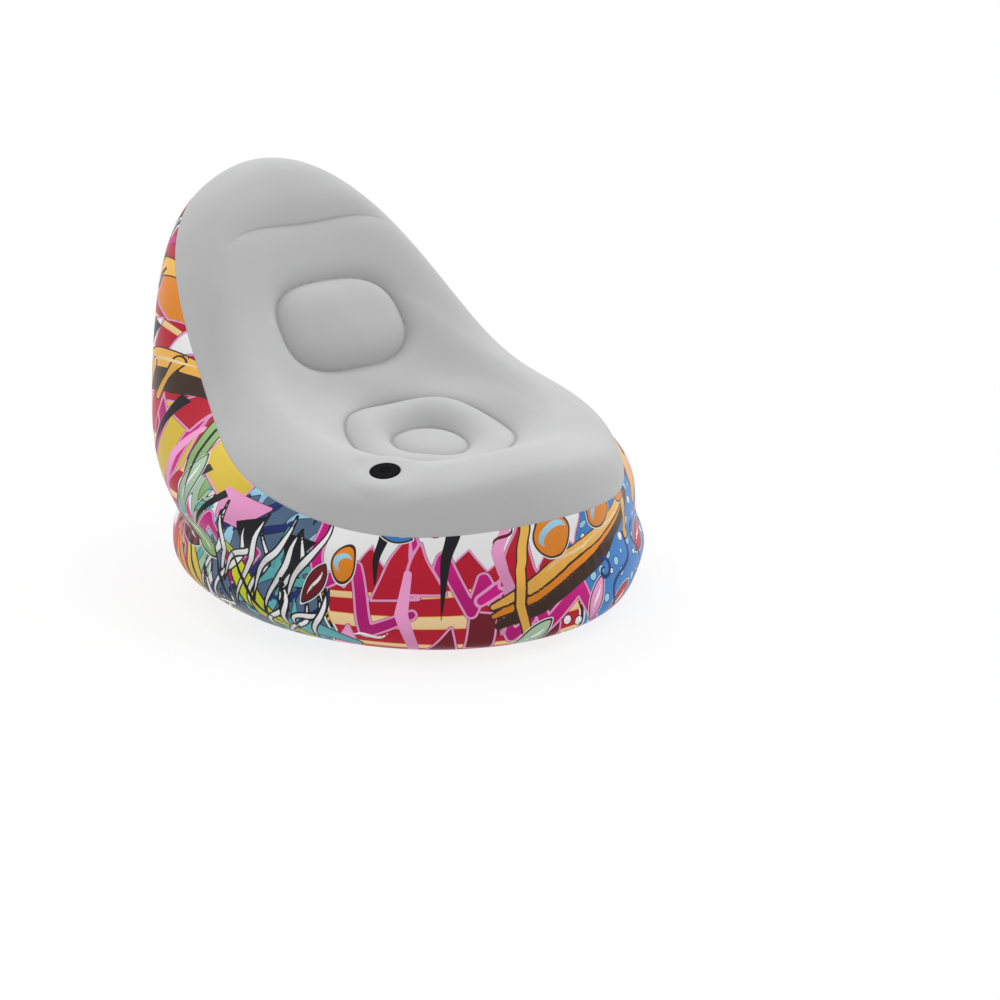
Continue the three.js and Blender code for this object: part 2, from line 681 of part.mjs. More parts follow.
function printedFace() {
  const face = new Face();
  const rows = [
    columns.map((angle) => face.add(seamEdge(angle))),
    ...wallRings.map((s) => columns.map((angle) => face.add(smoothPoint(bodyStations, angle, s)))),
    ...baseRings.map((s) => columns.map((angle) => face.add(smoothPoint(baseStations, angle, s)))),
  ];
  for (let i = 0; i < rows.length - 1; i++) face.join(rows[i], rows[i + 1]);
  rows[0].forEach((i, j) => face.fixedNormals.set(i, seamNormal(columns[j])));
  rows.at(-1).forEach((i) => face.fixedNormals.set(i, UP.clone().negate()));
  return face;
}

// A point drawn in towards the middle of the ring by a distance
function drawnIn(point, distance) {
  const reach = Math.hypot(point.x, point.y);
  const scale = (reach - distance) / reach;
  return new THREE.Vector3(point.x * scale, point.y * scale, point.z);
}

// Floor sheet: the flat underside that the chair rests on
function floorFace() {
  const face = new Face();
  const centre = face.add(new THREE.Vector3());
  const rim = columns.map((angle) =>
    face.add(drawnIn(smoothPoint(baseStations, angle, FLOOR_STATION_INDEX), CLEARANCE)),
  );
  face.fan(centre, rim, true);
  return face;
}

// Waist web: a level sheet across the body that draws the waist in, with vents
function waistWeb() {
  const face = new Face();
  const middle = new THREE.Vector3(0, 0, WAIST_HEIGHT + WEB_WALL / 2);
  const centre = face.add(middle);
  const rim = columns.map((angle) => {
    const edge = drawnIn(smoothPoint(baseStations, angle, 0), SHEET_WALL + CLEARANCE);
    return face.add(edge.setZ(middle.z));
  });
  face.fan(centre, rim);
  let solid = toSolid(face.geometry(WEB_WALL));
  for (let k = 0; k < FLOOR_VENTS; k++) {
    const turn = (FULL_TURN * (k + 0.5)) / FLOOR_VENTS;
    const reach = FLOOR_VENT_CIRCLE_SHARE * HALF_WIDTH;
    const hole = post(FLOOR_VENT_RADIUS, middle.z - CUT_OVERRUN, middle.z + CUT_OVERRUN, VENT_SEGMENTS);
    solid = solid.subtract(toSolid(hole, along(reach * Math.cos(turn), reach * Math.sin(turn), 0)));
  }
  return fromSolid(solid);
}

// Seat curtain: a round web from a weld of the seat straight down to the waist web, with vents
function seatCurtain(flocked, weld, radius) {
  const face = new Face();
  const normals = flocked.face.normals();
  const top = weld.map((i) => {
    const depth = SHEET_WALL + CLEARANCE + WEB_WALL / 2;
    return face.add(flocked.face.points[i].clone().addScaledVector(normals[i], -depth));
  });
  const foot = WAIST_HEIGHT + WEB_WALL / 2 + CLEARANCE;
  const bottom = top.map((i) => face.add(face.points[i].clone().setZ(foot)));
  face.join(top, bottom);
  let solid = toSolid(face.geometry(WEB_WALL));
  const height = foot + CURTAIN_VENT_HEIGHT_SHARE * (face.points[top[0]].z - foot);
  for (let k = 0; k < CURTAIN_VENTS / 2; k++) {
    const reach = radius + CUT_OVERRUN * 2;
    const hole = post(CURTAIN_VENT_RADIUS, -reach, reach, VENT_SEGMENTS).rotateX(Math.PI / 2);
    hole.rotateZ((FULL_TURN * (k + 0.5)) / CURTAIN_VENTS);
    solid = solid.subtract(toSolid(hole, along(0, SEAT_CENTRE_SHARE * HALF_WIDTH, height)));
  }
  return fromSolid(solid);
}

// The first of the triangles that a line meets, as a distance along it
function distanceTo(triangles, origin, direction) {
  const ray = new THREE.Ray(origin, direction);
  const hit = new THREE.Vector3();
  const found = triangles.map(([a, b, c]) =>
    ray.intersectTriangle(a, b, c, false, hit) ? hit.distanceTo(origin) : Infinity,
  );
  return Math.min(...found);
}

// Web from a line of welds on the inner face straight back to the printed wall
function backWeb(flocked, welds, wallTriangles, closed) {
  const face = new Face();
  const normals = flocked.face.normals();
  const backward = new THREE.Vector3(0, 1, 0);
  const depth = SHEET_WALL + CLEARANCE + WEB_WALL / 2;
  const front = welds.map((i) => {
    const start = flocked.face.points[i].clone();
    return face.add(start.addScaledVector(normals[i], -depth));
  });
  const rear = front.map((i) => {
    const start = face.points[i];
    const reach = distanceTo(wallTriangles, start, backward) - WEB_EDGE_GAP;
    return face.add(start.clone().addScaledVector(backward, reach));
  });
  face.join(rear, front, closed);
  return face.geometry(WEB_WALL);
}

// Valve heights, measured from the outer face of the sheet round it
const housingTop = 0;
const flangeTop = -SHEET_WALL - CLEARANCE;
const flangeBottom = flangeTop - VALVE_FLANGE_WALL;
const recessFloor = -VALVE_RECESS_DEPTH;
const recessUnderside = recessFloor - VALVE_FLANGE_WALL;
const recessRadius = VALVE_RIM_RADIUS - VALVE_RIM_WIDTH;
const insertOuterRadius = VALVE_BORE_RADIUS + INSERT_TUBE_WALL;
const collarBore = insertOuterRadius + RUNNING_GAP;
const collarOuterRadius = collarBore + VALVE_COLLAR_WALL;
const collarBottom = recessFloor - VALVE_COLLAR_LENGTH;
const sealBottom = recessFloor + CLEARANCE;
const sealTop = sealBottom + SEAL_WALL;
const insertRimBottom = sealTop + CLEARANCE;
const insertRimTop = insertRimBottom + INSERT_RIM_WALL;
const insertRimRadius = recessRadius - RUNNING_GAP;
const insertBottom = insertRimTop - INSERT_TUBE_LENGTH;
const insertFloorTop = insertBottom + INSERT_FLOOR_WALL;
const gasketBottom = insertRimTop + CLEARANCE;
const gasketTop = gasketBottom + GASKET_WALL;
const capUnderside = gasketTop + CLEARANCE;
const capTop = capUnderside + CAP_WALL;
const capRadius = recessRadius - RUNNING_GAP;
const flapTop = insertBottom - CLEARANCE;
const stemTop = insertFloorTop + CLEARANCE + FLAP_TRAVEL;

function valveHousing() {
  const recessWallOuter = recessRadius + VALVE_RIM_WIDTH / 2;
  return turned([
    [collarBore, collarBottom],
    [collarOuterRadius, collarBottom],
    [collarOuterRadius, recessUnderside],
    [recessWallOuter, recessUnderside],
    [recessWallOuter, flangeBottom],
    [VALVE_RIM_RADIUS + VALVE_WELD_FLANGE, flangeBottom],
    [VALVE_RIM_RADIUS + VALVE_WELD_FLANGE, flangeTop],
    [VALVE_RIM_RADIUS, flangeTop],
    [VALVE_RIM_RADIUS, housingTop],
    [recessRadius, housingTop],
    [recessRadius, recessFloor],
    [collarBore, recessFloor],
  ]);
}

function flatRing(inner, outer, bottom, top) {
  return turned([
    [inner, bottom],
    [outer, bottom],
    [outer, top],
    [inner, top],
  ]);
}

// Screw insert: a rimmed tube whose floor is a spoked grille round a hub for the flap's stem
function valveInsert() {
  const seatRadius = VALVE_BORE_RADIUS - INSERT_SEAT_WIDTH;
  let solid = toSolid(
    turned([
      [seatRadius, insertBottom],
      [insertOuterRadius, insertBottom],
      [insertOuterRadius, insertRimBottom],
      [insertRimRadius, insertRimBottom],
      [insertRimRadius, insertRimTop],
      [VALVE_BORE_RADIUS, insertRimTop],
      [VALVE_BORE_RADIUS, insertFloorTop],
      [seatRadius, insertFloorTop],
    ]),
  );
  solid = solid.add(toSolid(post(INSERT_HUB_RADIUS, insertBottom, insertFloorTop, ROUND_SEGMENTS)));
  const spokeLength = VALVE_BORE_RADIUS - INSERT_SEAT_WIDTH / 2;
  for (let k = 0; k < INSERT_SPOKES; k++) {
    const spoke = new THREE.BoxGeometry(spokeLength, INSERT_SPOKE_WIDTH, INSERT_FLOOR_WALL);
    spoke.translate(spokeLength / 2, 0, (insertBottom + insertFloorTop) / 2);
    spoke.rotateZ((FULL_TURN * k) / INSERT_SPOKES);
    solid = solid.add(toSolid(spoke));
  }
  const stemHoleRadius = FLAP_STEM_RADIUS + CLEARANCE;
  const stemHoleBottom = insertBottom - CUT_OVERRUN;
  const stemHole = post(stemHoleRadius, stemHoleBottom, insertTopOfCut(), VENT_SEGMENTS);
  return fromSolid(solid.subtract(toSolid(stemHole)));
}

function insertTopOfCut() {
  return insertFloorTop + CUT_OVERRUN;
}

// Check flap: a rubber disc that closes the grille from below, held by a stem with a head
function valveFlap() {
  const discRadius = VALVE_BORE_RADIUS - INSERT_SEAT_WIDTH + FLAP_LAP;
  return turned([
    [0, flapTop - FLAP_WALL],
    [discRadius, flapTop - FLAP_WALL],
    [discRadius, flapTop],
    [FLAP_STEM_RADIUS, flapTop],
    [FLAP_STEM_RADIUS, stemTop],
    [FLAP_HEAD_RADIUS, stemTop],
    [FLAP_STEM_RADIUS, stemTop + FLAP_HEAD_HEIGHT],
    [0, stemTop + FLAP_HEAD_HEIGHT],
  ]);
}

// Cap: a low disc with a plug skirt, turned by a bar left across a round recess
function valveCap() {
  const skirtOuter = VALVE_BORE_RADIUS - RUNNING_GAP;
  const skirtBottom = capUnderside - CAP_SKIRT_LENGTH;
  const disc = turned([
    [0, capUnderside],
    [capRadius, capUnderside],
    [capRadius, capTop - CAP_EDGE_RADIUS],
    [capRadius - CAP_EDGE_RADIUS, capTop],
    [0, capTop],
  ]);
  const skirt = flatRing(skirtOuter - CAP_SKIRT_WALL, skirtOuter, skirtBottom, capUnderside + CAP_WALL / 2);
  const grip = post(CAP_GRIP_RADIUS, capTop - CAP_GRIP_DEPTH, capTop + CUT_OVERRUN, ROUND_SEGMENTS);
  const bar = new THREE.BoxGeometry(CAP_GRIP_RADIUS * 2 + CUT_OVERRUN, CAP_GRIP_WIDTH, CUT_OVERRUN * 4);
  const pockets = toSolid(grip).subtract(toSolid(bar, along(0, 0, capTop)));
  return fromSolid(toSolid(disc).add(toSolid(skirt)).subtract(pockets));
}

const flocked = flockedFace();
const printed = printedFace();
const printedInside = printed.innerTriangles(SHEET_WALL);
const headrestColumns = columns
  .map((angle, j) => ({ j, away: headrestAway(angle) }))
  .filter(({ away }) => away < 1)
  .map(({ j }) => flocked.rows[HEADREST_RING_INDEX][j]);

addPiece("flocked_top_sheet", flocked.face.geometry(SHEET_WALL), flock);
addPiece("printed_wall_sheet", printed.geometry(SHEET_WALL), printedVinyl);
addPiece("floor_sheet", floorFace().geometry(SHEET_WALL), floorVinyl);
addPiece("waist_web", waistWeb(), webVinyl);
addPiece("seat_ring_curtain", seatCurtain(flocked, flocked.rows[0], SEAT_PAD_RADIUS), webVinyl);
const buttonCurtain = seatCurtain(flocked, flocked.seatRows[BUTTON_RING_INDEX], SEAT_BUTTON_RADIUS);
addPiece("seat_button_curtain", buttonCurtain, webVinyl);
addPiece("lumbar_curtain", backWeb(flocked, flocked.weld, printedInside, true), webVinyl);
addPiece("headrest_web", backWeb(flocked, headrestColumns, printedInside, false), webVinyl);

const valve = new THREE.Group();
valve.name = "valve";
valve.applyMatrix4(
  new THREE.Matrix4().makeBasis(valveAcross, valveAlong, valveNormal).setPosition(valveCentre),
);
chair.add(valve);
addPiece("valve_housing", valveHousing(), blackPlastic, valve);
const sealInner = insertOuterRadius + CLEARANCE;
addPiece("valve_seal", flatRing(sealInner, sealInner + SEAL_WIDTH, sealBottom, sealTop), blackRubber, valve);
addPiece("valve_insert", valveInsert(), palePlastic, valve);
addPiece("valve_flap", valveFlap(), blackRubber, valve);
const gasketInner = VALVE_BORE_RADIUS + CLEARANCE;
addPiece(
  "valve_cap_gasket",
  flatRing(gasketInner, gasketInner + GASKET_WIDTH, gasketBottom, gasketTop),
  blackRubber,
  valve,
);
addPiece("valve_cap", valveCap(), blackPlastic, valve);

// The origin lies on the floor under the middle of the chair's overall box
const middle = new THREE.Box3().setFromObject(chair).getCenter(new THREE.Vector3());
for (const child of chair.children) child.position.y -= middle.y;

export default chair;
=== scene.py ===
# %% [markdown]
# # An inflatable lounge chair
# The real chair is a bag of welded vinyl. A grey flocked sheet makes the seat, the back and the rim,
# a printed sheet makes the wall, and webs inside hold the two in shape when air is pumped in.
# The rigid pieces and the webs come from the construction model. The two sheets that show are made
# again here as fine surfaces, because air gives them soft crowns, tight welds and small puckers that
# the construction model only hints at.

# %% Load the construction model
import bpy
import math
import numpy as np
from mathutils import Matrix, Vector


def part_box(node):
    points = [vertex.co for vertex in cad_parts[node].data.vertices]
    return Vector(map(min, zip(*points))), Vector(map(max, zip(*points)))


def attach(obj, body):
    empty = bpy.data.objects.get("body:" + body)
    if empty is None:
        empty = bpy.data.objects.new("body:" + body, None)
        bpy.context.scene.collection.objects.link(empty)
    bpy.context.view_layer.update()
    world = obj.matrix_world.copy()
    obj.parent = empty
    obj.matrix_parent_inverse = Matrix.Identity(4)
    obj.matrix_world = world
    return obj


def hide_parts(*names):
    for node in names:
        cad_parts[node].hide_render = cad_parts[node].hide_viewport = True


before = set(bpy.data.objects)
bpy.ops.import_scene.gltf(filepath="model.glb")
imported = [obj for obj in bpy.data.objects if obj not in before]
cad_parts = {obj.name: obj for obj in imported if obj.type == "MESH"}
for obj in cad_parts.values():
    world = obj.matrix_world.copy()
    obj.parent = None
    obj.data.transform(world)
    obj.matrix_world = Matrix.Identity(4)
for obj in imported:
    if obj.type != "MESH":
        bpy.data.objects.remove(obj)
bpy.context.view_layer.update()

# %% [markdown]
# ## The shape of the air body
# The body is a family of half sections, one for each angle round the chair. A section runs through
# stations, and each station has a radius and a height at the front, the front corner, the side, the
# shoulder and the back. Between those angles an even cosine wave fills in, so left and right match.
# The same stations shape the construction model, so the two agree.

# %% Stations of the body
HALF_WIDTH = 0.5
BACK_HEIGHT = 0.831
WAIST_HEIGHT = 0.174
SEAT_RADIUS = 0.176
BUTTON_RADIUS = 0.079
SEAT_CENTRE = -0.085


def pad_station(centre, radii, heights):
    """Radius from the seat pad's weld outwards and height from the waist upwards, as shares."""
    radii = SEAT_RADIUS + np.array(radii) * (HALF_WIDTH - SEAT_RADIUS)
    return radii, WAIST_HEIGHT + np.array(heights) * (BACK_HEIGHT - WAIST_HEIGHT), centre * HALF_WIDTH


def body_station(centre, radii, heights):
    """Radius as a share of the half width, and height from the waist upwards as a share."""
    heights = WAIST_HEIGHT + np.array(heights) * (BACK_HEIGHT - WAIST_HEIGHT)
    return np.array(radii) * HALF_WIDTH, heights, centre * HALF_WIDTH


def ring_station(radii, heights):
    """Radius as a share of the half width, and height as a share of the waist's height."""
    return np.array(radii) * HALF_WIDTH, np.array(heights) * WAIST_HEIGHT, 0.0


WAIST = ring_station([0.996, 0.974, 0.966, 0.97, 0.976], [1, 1, 1, 1, 1])
BODY = [
    body_station(-0.17, [0, 0, 0, 0, 0], [0.226, 0.226, 0.226, 0.226, 0.226]),
    pad_station(-0.17, [0, 0, 0, 0, 0], [0.243, 0.252, 0.257, 0.303, 0.292]),
    pad_station(-0.144, [0.21, 0.225, 0.215, 0.15, 0.04], [0.277, 0.28, 0.31, 0.333, 0.332]),
    pad_station(-0.088, [0.389, 0.38, 0.395, 0.47, 0.55], [0.304, 0.288, 0.344, 0.493, 0.674]),
    body_station(-0.05, [0.752, 0.736, 0.74, 0.828, 1.08], [0.326, 0.271, 0.314, 0.583, 1]),
    body_station(-0.048, [0.928, 0.844, 0.818, 0.918, 1.224], [0.286, 0.222, 0.271, 0.549, 0.982]),
    body_station(-0.04, [0.994, 0.902, 0.86, 0.962, 1.35], [0.149, 0.126, 0.237, 0.531, 0.922]),
    body_station(0, [1.004, 0.968, 1, 1.114, 1.318], [0.07, 0.052, 0.1, 0.237, 0.461]),
    WAIST,
]
BASE = [
    WAIST,
    ring_station([1.014, 0.98, 0.972, 0.988, 0.994], [0.862, 0.874, 0.897, 0.914, 0.862]),
    ring_station([1.036, 1.014, 1.002, 1.004, 1.02], [0.546, 0.534, 0.534, 0.546, 0.552]),
    ring_station([1.044, 0.964, 0.912, 0.924, 0.97], [0.224, 0.207, 0.23, 0.213, 0.207]),
    ring_station([0.864, 0.8, 0.774, 0.794, 0.828], [0, 0, 0, 0, 0]),
]
SEAM = 6
print(len(BODY), "stations from the seat's centre to the waist and", len(BASE), "on to the floor")


# %% A point of the body at an angle and a station
def even_wave(values, angle):
    """a0 + a1 cos(angle) + ... + a4 cos(4 angle), with the a chosen so that it meets the five values."""
    order = np.arange(5)
    half = np.array([0.5, 1, 1, 1, 0.5])
    weights = np.cos(np.outer(order, order) * np.pi / 4) @ (half * values) / 2
    weights[[0, 4]] /= 2
    return np.cos(angle[..., None] * order) @ weights


def smooth_point(stations, angle, s):
    """Points at angle (one for each column) and s (one for each row and column).

    Between two stations p0 and p1 with slopes m0 and m1 and a chord of length L, at the share t:
    (2t3-3t2+1) p0 + (t3-2t2+t) L m0 + (3t2-2t3) p1 + (t3-t2) L m1. The slope at a station is that
    of the parabola through it and its neighbours."""
    knots = np.stack([
        np.stack([even_wave(r, angle), even_wave(z, angle), np.full(angle.shape, c)], -1)
        for r, z, c in stations
    ])
    chords = np.diff(knots, axis=0)
    lengths = np.linalg.norm(chords, axis=-1, keepdims=True)
    units = chords / lengths
    inner = (units[:-1] * lengths[1:] + units[1:] * lengths[:-1]) / (lengths[:-1] + lengths[1:])
    slopes = np.concatenate([units[:1], inner, units[-1:]])
    if stations[0][0].max() == 0:
        slopes[0] = (1, 0, 0)
    i = np.clip(np.floor(s).astype(int), 0, len(stations) - 2)
    t = (s - i)[..., None]
    column = np.broadcast_to(np.arange(angle.size), i.shape)
    span = lengths[i, column]
    flat = (2 * t**3 - 3 * t**2 + 1) * knots[i, column] + (t**3 - 2 * t**2 + t) * span * slopes[i, column]
    flat += (3 * t**2 - 2 * t**3) * knots[i + 1, column] + (t**3 - t**2) * span * slopes[i + 1, column]
    r, z, c = flat[..., 0], flat[..., 1], flat[..., 2]
    return np.stack([r * np.sin(angle), c - r * np.cos(angle), z], -1)


def smooth_normal(stations, angle, s, step=1e-3):
    """The cross product of the slopes along the section and round the body, made one unit long."""
    high = np.minimum(s + step, len(stations) - 1)
    down = smooth_point(stations, angle, high) - smooth_point(stations, angle, np.maximum(s - step, 0))
    around = smooth_point(stations, angle + step, s) - smooth_point(stations, angle - step, s)
    normal = np.cross(down, around)
    size = np.linalg.norm(normal, axis=-1, keepdims=True)
    return np.where(size > 1e-12, normal / np.maximum(size, 1e-12), (0, 0, 1))


low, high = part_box("floor_sheet")
foot_ends = smooth_point(BASE, np.array([0.0, np.pi]), np.full((1, 2), len(BASE) - 1.0))
SHIFT_Y = (low[1] + high[1]) / 2 - foot_ends[0, :, 1].mean()
print("the ring's centre lies", round(SHIFT_Y, 4), "m along Y")

# %% [markdown]
# ## From a grid to a mesh
# Every sheet here is a grid: rows run along the section and columns run round the body. A grid could
# be made with one of Blender's primitives and bent with modifiers. Working the points out with numpy
# gives full control of where the rows crowd together, and one call puts them all into the mesh.

# %% Mesh helpers
def grid_faces(rows, columns, first=0):
    """Quads (row, column), (row + 1, column), (row + 1, column + 1), (row, column + 1), closed all round."""
    at = first + np.arange(rows * columns).reshape(rows, columns)
    onward = np.roll(at, -1, axis=1)
    return np.stack([at[:-1], at[1:], onward[1:], onward[:-1]], -1).reshape(-1, 4)


def add_mesh(name, points, faces, triangles=None):
    """A smooth-shaded object at the origin from an array of points and arrays of corner numbers."""
    corners = faces.reshape(-1)
    starts = np.arange(len(faces)) * 4
    if triangles is not None:
        starts = np.concatenate([starts, len(corners) + np.arange(len(triangles)) * 3])
        corners = np.concatenate([corners, triangles.reshape(-1)])
    mesh = bpy.data.meshes.new(name)
    mesh.vertices.add(len(points))
    mesh.vertices.foreach_set("co", points.astype(np.float32).ravel())
    mesh.loops.add(len(corners))
    mesh.loops.foreach_set("vertex_index", corners.astype(np.int32))
    mesh.polygons.add(len(starts))
    mesh.polygons.foreach_set("loop_start", starts.astype(np.int32))
    mesh.update(calc_edges=True)
    mesh.validate()
    mesh.shade_smooth()
    piece = bpy.data.objects.new(name, mesh)
    bpy.context.scene.collection.objects.link(piece)
    triangle_count = sum(len(face.vertices) - 2 for face in mesh.polygons)
    print(name, "has", len(points), "points and", triangle_count, "triangles")
    return piece


def add_number(piece, name, values):
    """A number for each point of the mesh, which the material reads."""
    numbers = piece.data.attributes.new(name, "FLOAT", "POINT").data
    numbers.foreach_set("value", values.astype(np.float32).ravel())


def add_colour(piece, name, values):
    """A colour for each point of the mesh, which the material reads."""
    solid = np.concatenate([values, np.ones(values.shape[:-1] + (1,))], -1)
    colours = piece.data.attributes.new(name, "FLOAT_COLOR", "POINT").data
    colours.foreach_set("color", solid.astype(np.float32).ravel())


def pieces_of(*runs):
    """Values from one stop to the next, each run given as (from, to, steps)."""
    return np.concatenate([np.linspace(a, b, n, endpoint=False) for a, b, n in runs])


# %% [markdown]
# ## Welds, crowns and the headrest groove
# Inside the real chair, webs pull the flocked sheet down along its welds and the air lifts it between
# them. A weld is a tight fold: the sheet falls to it steeply from both sides, while a crown between two
# welds is round. Both are added along the normal of the smooth body. Sculpting could do this too, but a
# formula keeps every weld where the construction model's webs stand.

# %% Sizes of the relief
WELD_DEPTH = 0.0095
WELD_SHOULDER = 0.012
SEAT_CROWN = 0.013
SEAT_MIDDLE_HEIGHT = 0.327
SEAT_CLIMB = 0.1
SEAT_FULLNESS = (0.12, 0.44)  # of the ring's crown at the front, and what it gains to the side
SEAT_END = 2.2  # station by which the seat's crowns and welds have ended
BACK_PART = (1.2, 3.9)  # stations between which the lumbar pad lies
DOME_POWER = 2.5
BUTTON_CROWN = 0.009
LUMBAR_CROWN = 0.020
LUMBAR_WELD_DEPTH = 0.022
LUMBAR_SHOULDER = 0.016
LUMBAR_HALF = (0.151, 0.107)
LUMBAR_HEIGHT = 0.523
LUMBAR_POWER = 2.8
BACK_LEAN = math.radians(59)  # from level
LUMBAR_UP = np.array([0, math.cos(BACK_LEAN), math.sin(BACK_LEAN)])
HEADREST_DEPTH = 0.008
HEADREST_HALF_ANGLE = math.radians(30)
HEADREST_STATION = 3.36  # where the groove crosses the middle of the back
HEADREST_DROP = 0.52  # how many stations further out its ends lie
HEADREST_SCALE = 0.28  # metres of sheet from one station to the next at the groove
GROOVE_WIDTHS = (0.026, 0.008)  # of the wide trough and of the fold in it
PILLOW = (0.25, 0.055, 0.03)  # share of the groove's depth, place above the groove, width
print("weld depths in metres:", WELD_DEPTH, "in the seat and", LUMBAR_WELD_DEPTH, "round the lumbar pad")


# %% Relief of the flocked sheet
def fold(distance, shoulder, tip=0.0035):
    """exp(-(sqrt(d2 + tip2) - tip) / shoulder): 1 in the fold, with steep straight flanks."""
    return np.exp(-(np.sqrt(distance**2 + tip**2) - tip) / shoulder)


def soft_step(low, high, value):
    """3t2 - 2t3 of the share t of the way from low to high."""
    t = np.clip((value - low) / (high - low), 0, 1)
    return t * t * (3 - 2 * t)


def lumbar_place(points):
    """Across and along the back's inner face, measured from the middle of the lumbar pad."""
    back = np.array([np.pi])
    climb = np.linspace(*BACK_PART, 400)[:, None]
    spine = smooth_point(BODY, back, climb)[:, 0]
    centre = spine[np.searchsorted(spine[:, 2], LUMBAR_HEIGHT)] @ LUMBAR_UP
    return points[..., 0], points @ LUMBAR_UP - centre


def headrest_station(angle):
    """The headrest groove runs level across the back, at its station + drop * away ** 2."""
    away = np.abs(angle - np.pi) / HEADREST_HALF_ANGLE
    return HEADREST_STATION + HEADREST_DROP * np.minimum(away, 1) ** 2, away


def in_seat(points, angle, s):
    """Inside the seat's outer weld: a plane that climbs to the back, and from the button's weld
    outwards a swing up to the outer weld, sin(pi / 2 * share)."""
    backwards = points[..., 1] - SEAT_CENTRE
    share = (np.hypot(points[..., 0], backwards) - BUTTON_RADIUS) / (SEAT_RADIUS - BUTTON_RADIUS)
    swing = np.sin(np.clip(share, 0, 1) * np.pi / 2)
    plane = SEAT_MIDDLE_HEIGHT + SEAT_CLIMB * backwards
    height = plane + (even_wave(BODY[1][1], angle) - plane) * swing
    return np.concatenate([points[..., :2], np.where(s < 1, height, points[..., 2])[..., None]], -1)


def flocked_relief(points, angle, s):
    """How far the sheet stands out along the normal, and how far each point is from the nearest weld.

    The seat's ring is a half sine wave between its two welds, fuller towards the back. The button and
    the lumbar pad are domes, 1 - share ** power, and each weld is a fold, deepest round the lumbar pad."""
    reach = np.hypot(points[..., 0], points[..., 1] - SEAT_CENTRE)
    inside = s < SEAT_END
    across, along = lumbar_place(points)
    share = (np.abs(across) / LUMBAR_HALF[0]) ** LUMBAR_POWER
    share = (share + (np.abs(along) / LUMBAR_HALF[1]) ** LUMBAR_POWER) ** (1 / LUMBAR_POWER)
    on_back = (s > BACK_PART[0]) & (s < BACK_PART[1]) & (np.cos(angle) < 0)
    share = np.where(on_back, share, 9)
    ring = np.clip((reach - BUTTON_RADIUS) / (SEAT_RADIUS - BUTTON_RADIUS), 0, 1)
    fullness = SEAT_FULLNESS[0] + SEAT_FULLNESS[1] * (1 - np.cos(angle))
    crowns = SEAT_CROWN * fullness * np.sin(np.pi * ring)
    crowns += BUTTON_CROWN * np.maximum(1 - (reach / BUTTON_RADIUS) ** DOME_POWER, 0)
    crowns = crowns * inside
    crowns += LUMBAR_CROWN * np.maximum(1 - share**DOME_POWER, 0)
    to_seat = np.where(inside, np.minimum(np.abs(reach - SEAT_RADIUS), np.abs(reach - BUTTON_RADIUS)), 1)
    to_lumbar = np.abs(np.hypot(across, along) * (1 - 1 / np.maximum(share, 1e-6)))
    to_lumbar = np.where(share < 4, to_lumbar, 1)
    to_weld = np.minimum(to_seat, to_lumbar)
    welds = WELD_DEPTH * fold(to_seat, WELD_SHOULDER) + LUMBAR_WELD_DEPTH * fold(to_lumbar, LUMBAR_SHOULDER)
    station, away = headrest_station(angle)
    fade = 1 - np.minimum(away, 1) ** 3
    to_groove = (s - station) * HEADREST_SCALE
    groove = 0.6 * np.exp(-((to_groove / GROOVE_WIDTHS[0]) ** 2)) + 0.4 * fold(to_groove, GROOVE_WIDTHS[1])
    swell, place, width = PILLOW
    pillow = swell * np.exp(-(((to_groove - place) / width) ** 2))
    relief = crowns - welds - HEADREST_DEPTH * fade * (groove - pillow)
    return relief, to_weld, to_groove, fade


# %% [markdown]
# ## The flocked sheet
# This is the sheet that the sitter touches: seat, back, rim and headrest in one. Rows crowd at the
# welds and columns crowd at the back and at the valve, so that the folds are sharp without a heavy
# mesh everywhere. Round the valve the sheet lies in the plane of the valve's welded collar, and the
# faces inside the collar are taken out. A small lip at the seam turns in, where the real sheet is
# welded to the wall.

# %% Rows and columns of the flocked sheet
VALVE_ANGLE = math.radians(315)
VALVE_STATION = 3.66
VALVE_SINK = 0.004
VALVE_HOLE = 0.0313
VALVE_FLAT = (0.042, 0.085)  # radius of the flat round the valve, and where it has faded out
VALVE_LEVEL = 0.03  # the flat takes only points that lie nearer to its plane than this
SEAM_TUCK = 0.0016
SEAM_SHOULDER = (0.0022, 0.0005)
LIP_DEPTH = 0.003
SHEET_THICKNESS = 0.0008
FLOCK_COLUMNS = 400


def crowded_angles(count):
    """Angles whose spacing is the inverse of 1 + 0.8 at the back + 0.7 at the valve."""
    fine = np.linspace(0, 2 * np.pi, 7201)
    back = soft_step(115, 130, np.degrees(fine)) * (1 - soft_step(230, 245, np.degrees(fine)))
    density = 1 + 0.8 * back + 0.7 * np.exp(-(((fine - VALVE_ANGLE) / 0.16) ** 2))
    total = np.concatenate([[0], np.cumsum((density[1:] + density[:-1]) / 2)])
    return np.interp(np.arange(count) / count * total[-1], total, fine)


flock_angles = crowded_angles(FLOCK_COLUMNS)
flock_rows = pieces_of(
    (0.02, 0.30, 13), (0.30, 0.60, 28), (0.60, 0.86, 11), (0.86, 1.20, 27), (1.20, 2.0, 17),
    (2.0, 3.15, 74), (3.15, 3.80, 42), (3.80, 5.80, 27),
)
flock_rows = np.concatenate([flock_rows, [5.80, 5.86, 5.91, 5.945, 5.965, 5.98, 5.99, 6.0]])
print(len(flock_rows), "rows and", len(flock_angles), "columns")

# %% The flocked sheet as a mesh
s = np.broadcast_to(flock_rows[:, None], (len(flock_rows), FLOCK_COLUMNS))
base = in_seat(smooth_point(BODY, flock_angles, s), flock_angles, s)
normal = smooth_normal(BODY, flock_angles, s)
relief, to_weld, to_groove, groove_fade = flocked_relief(base, flock_angles, s)
skin = base + normal * relief[..., None]

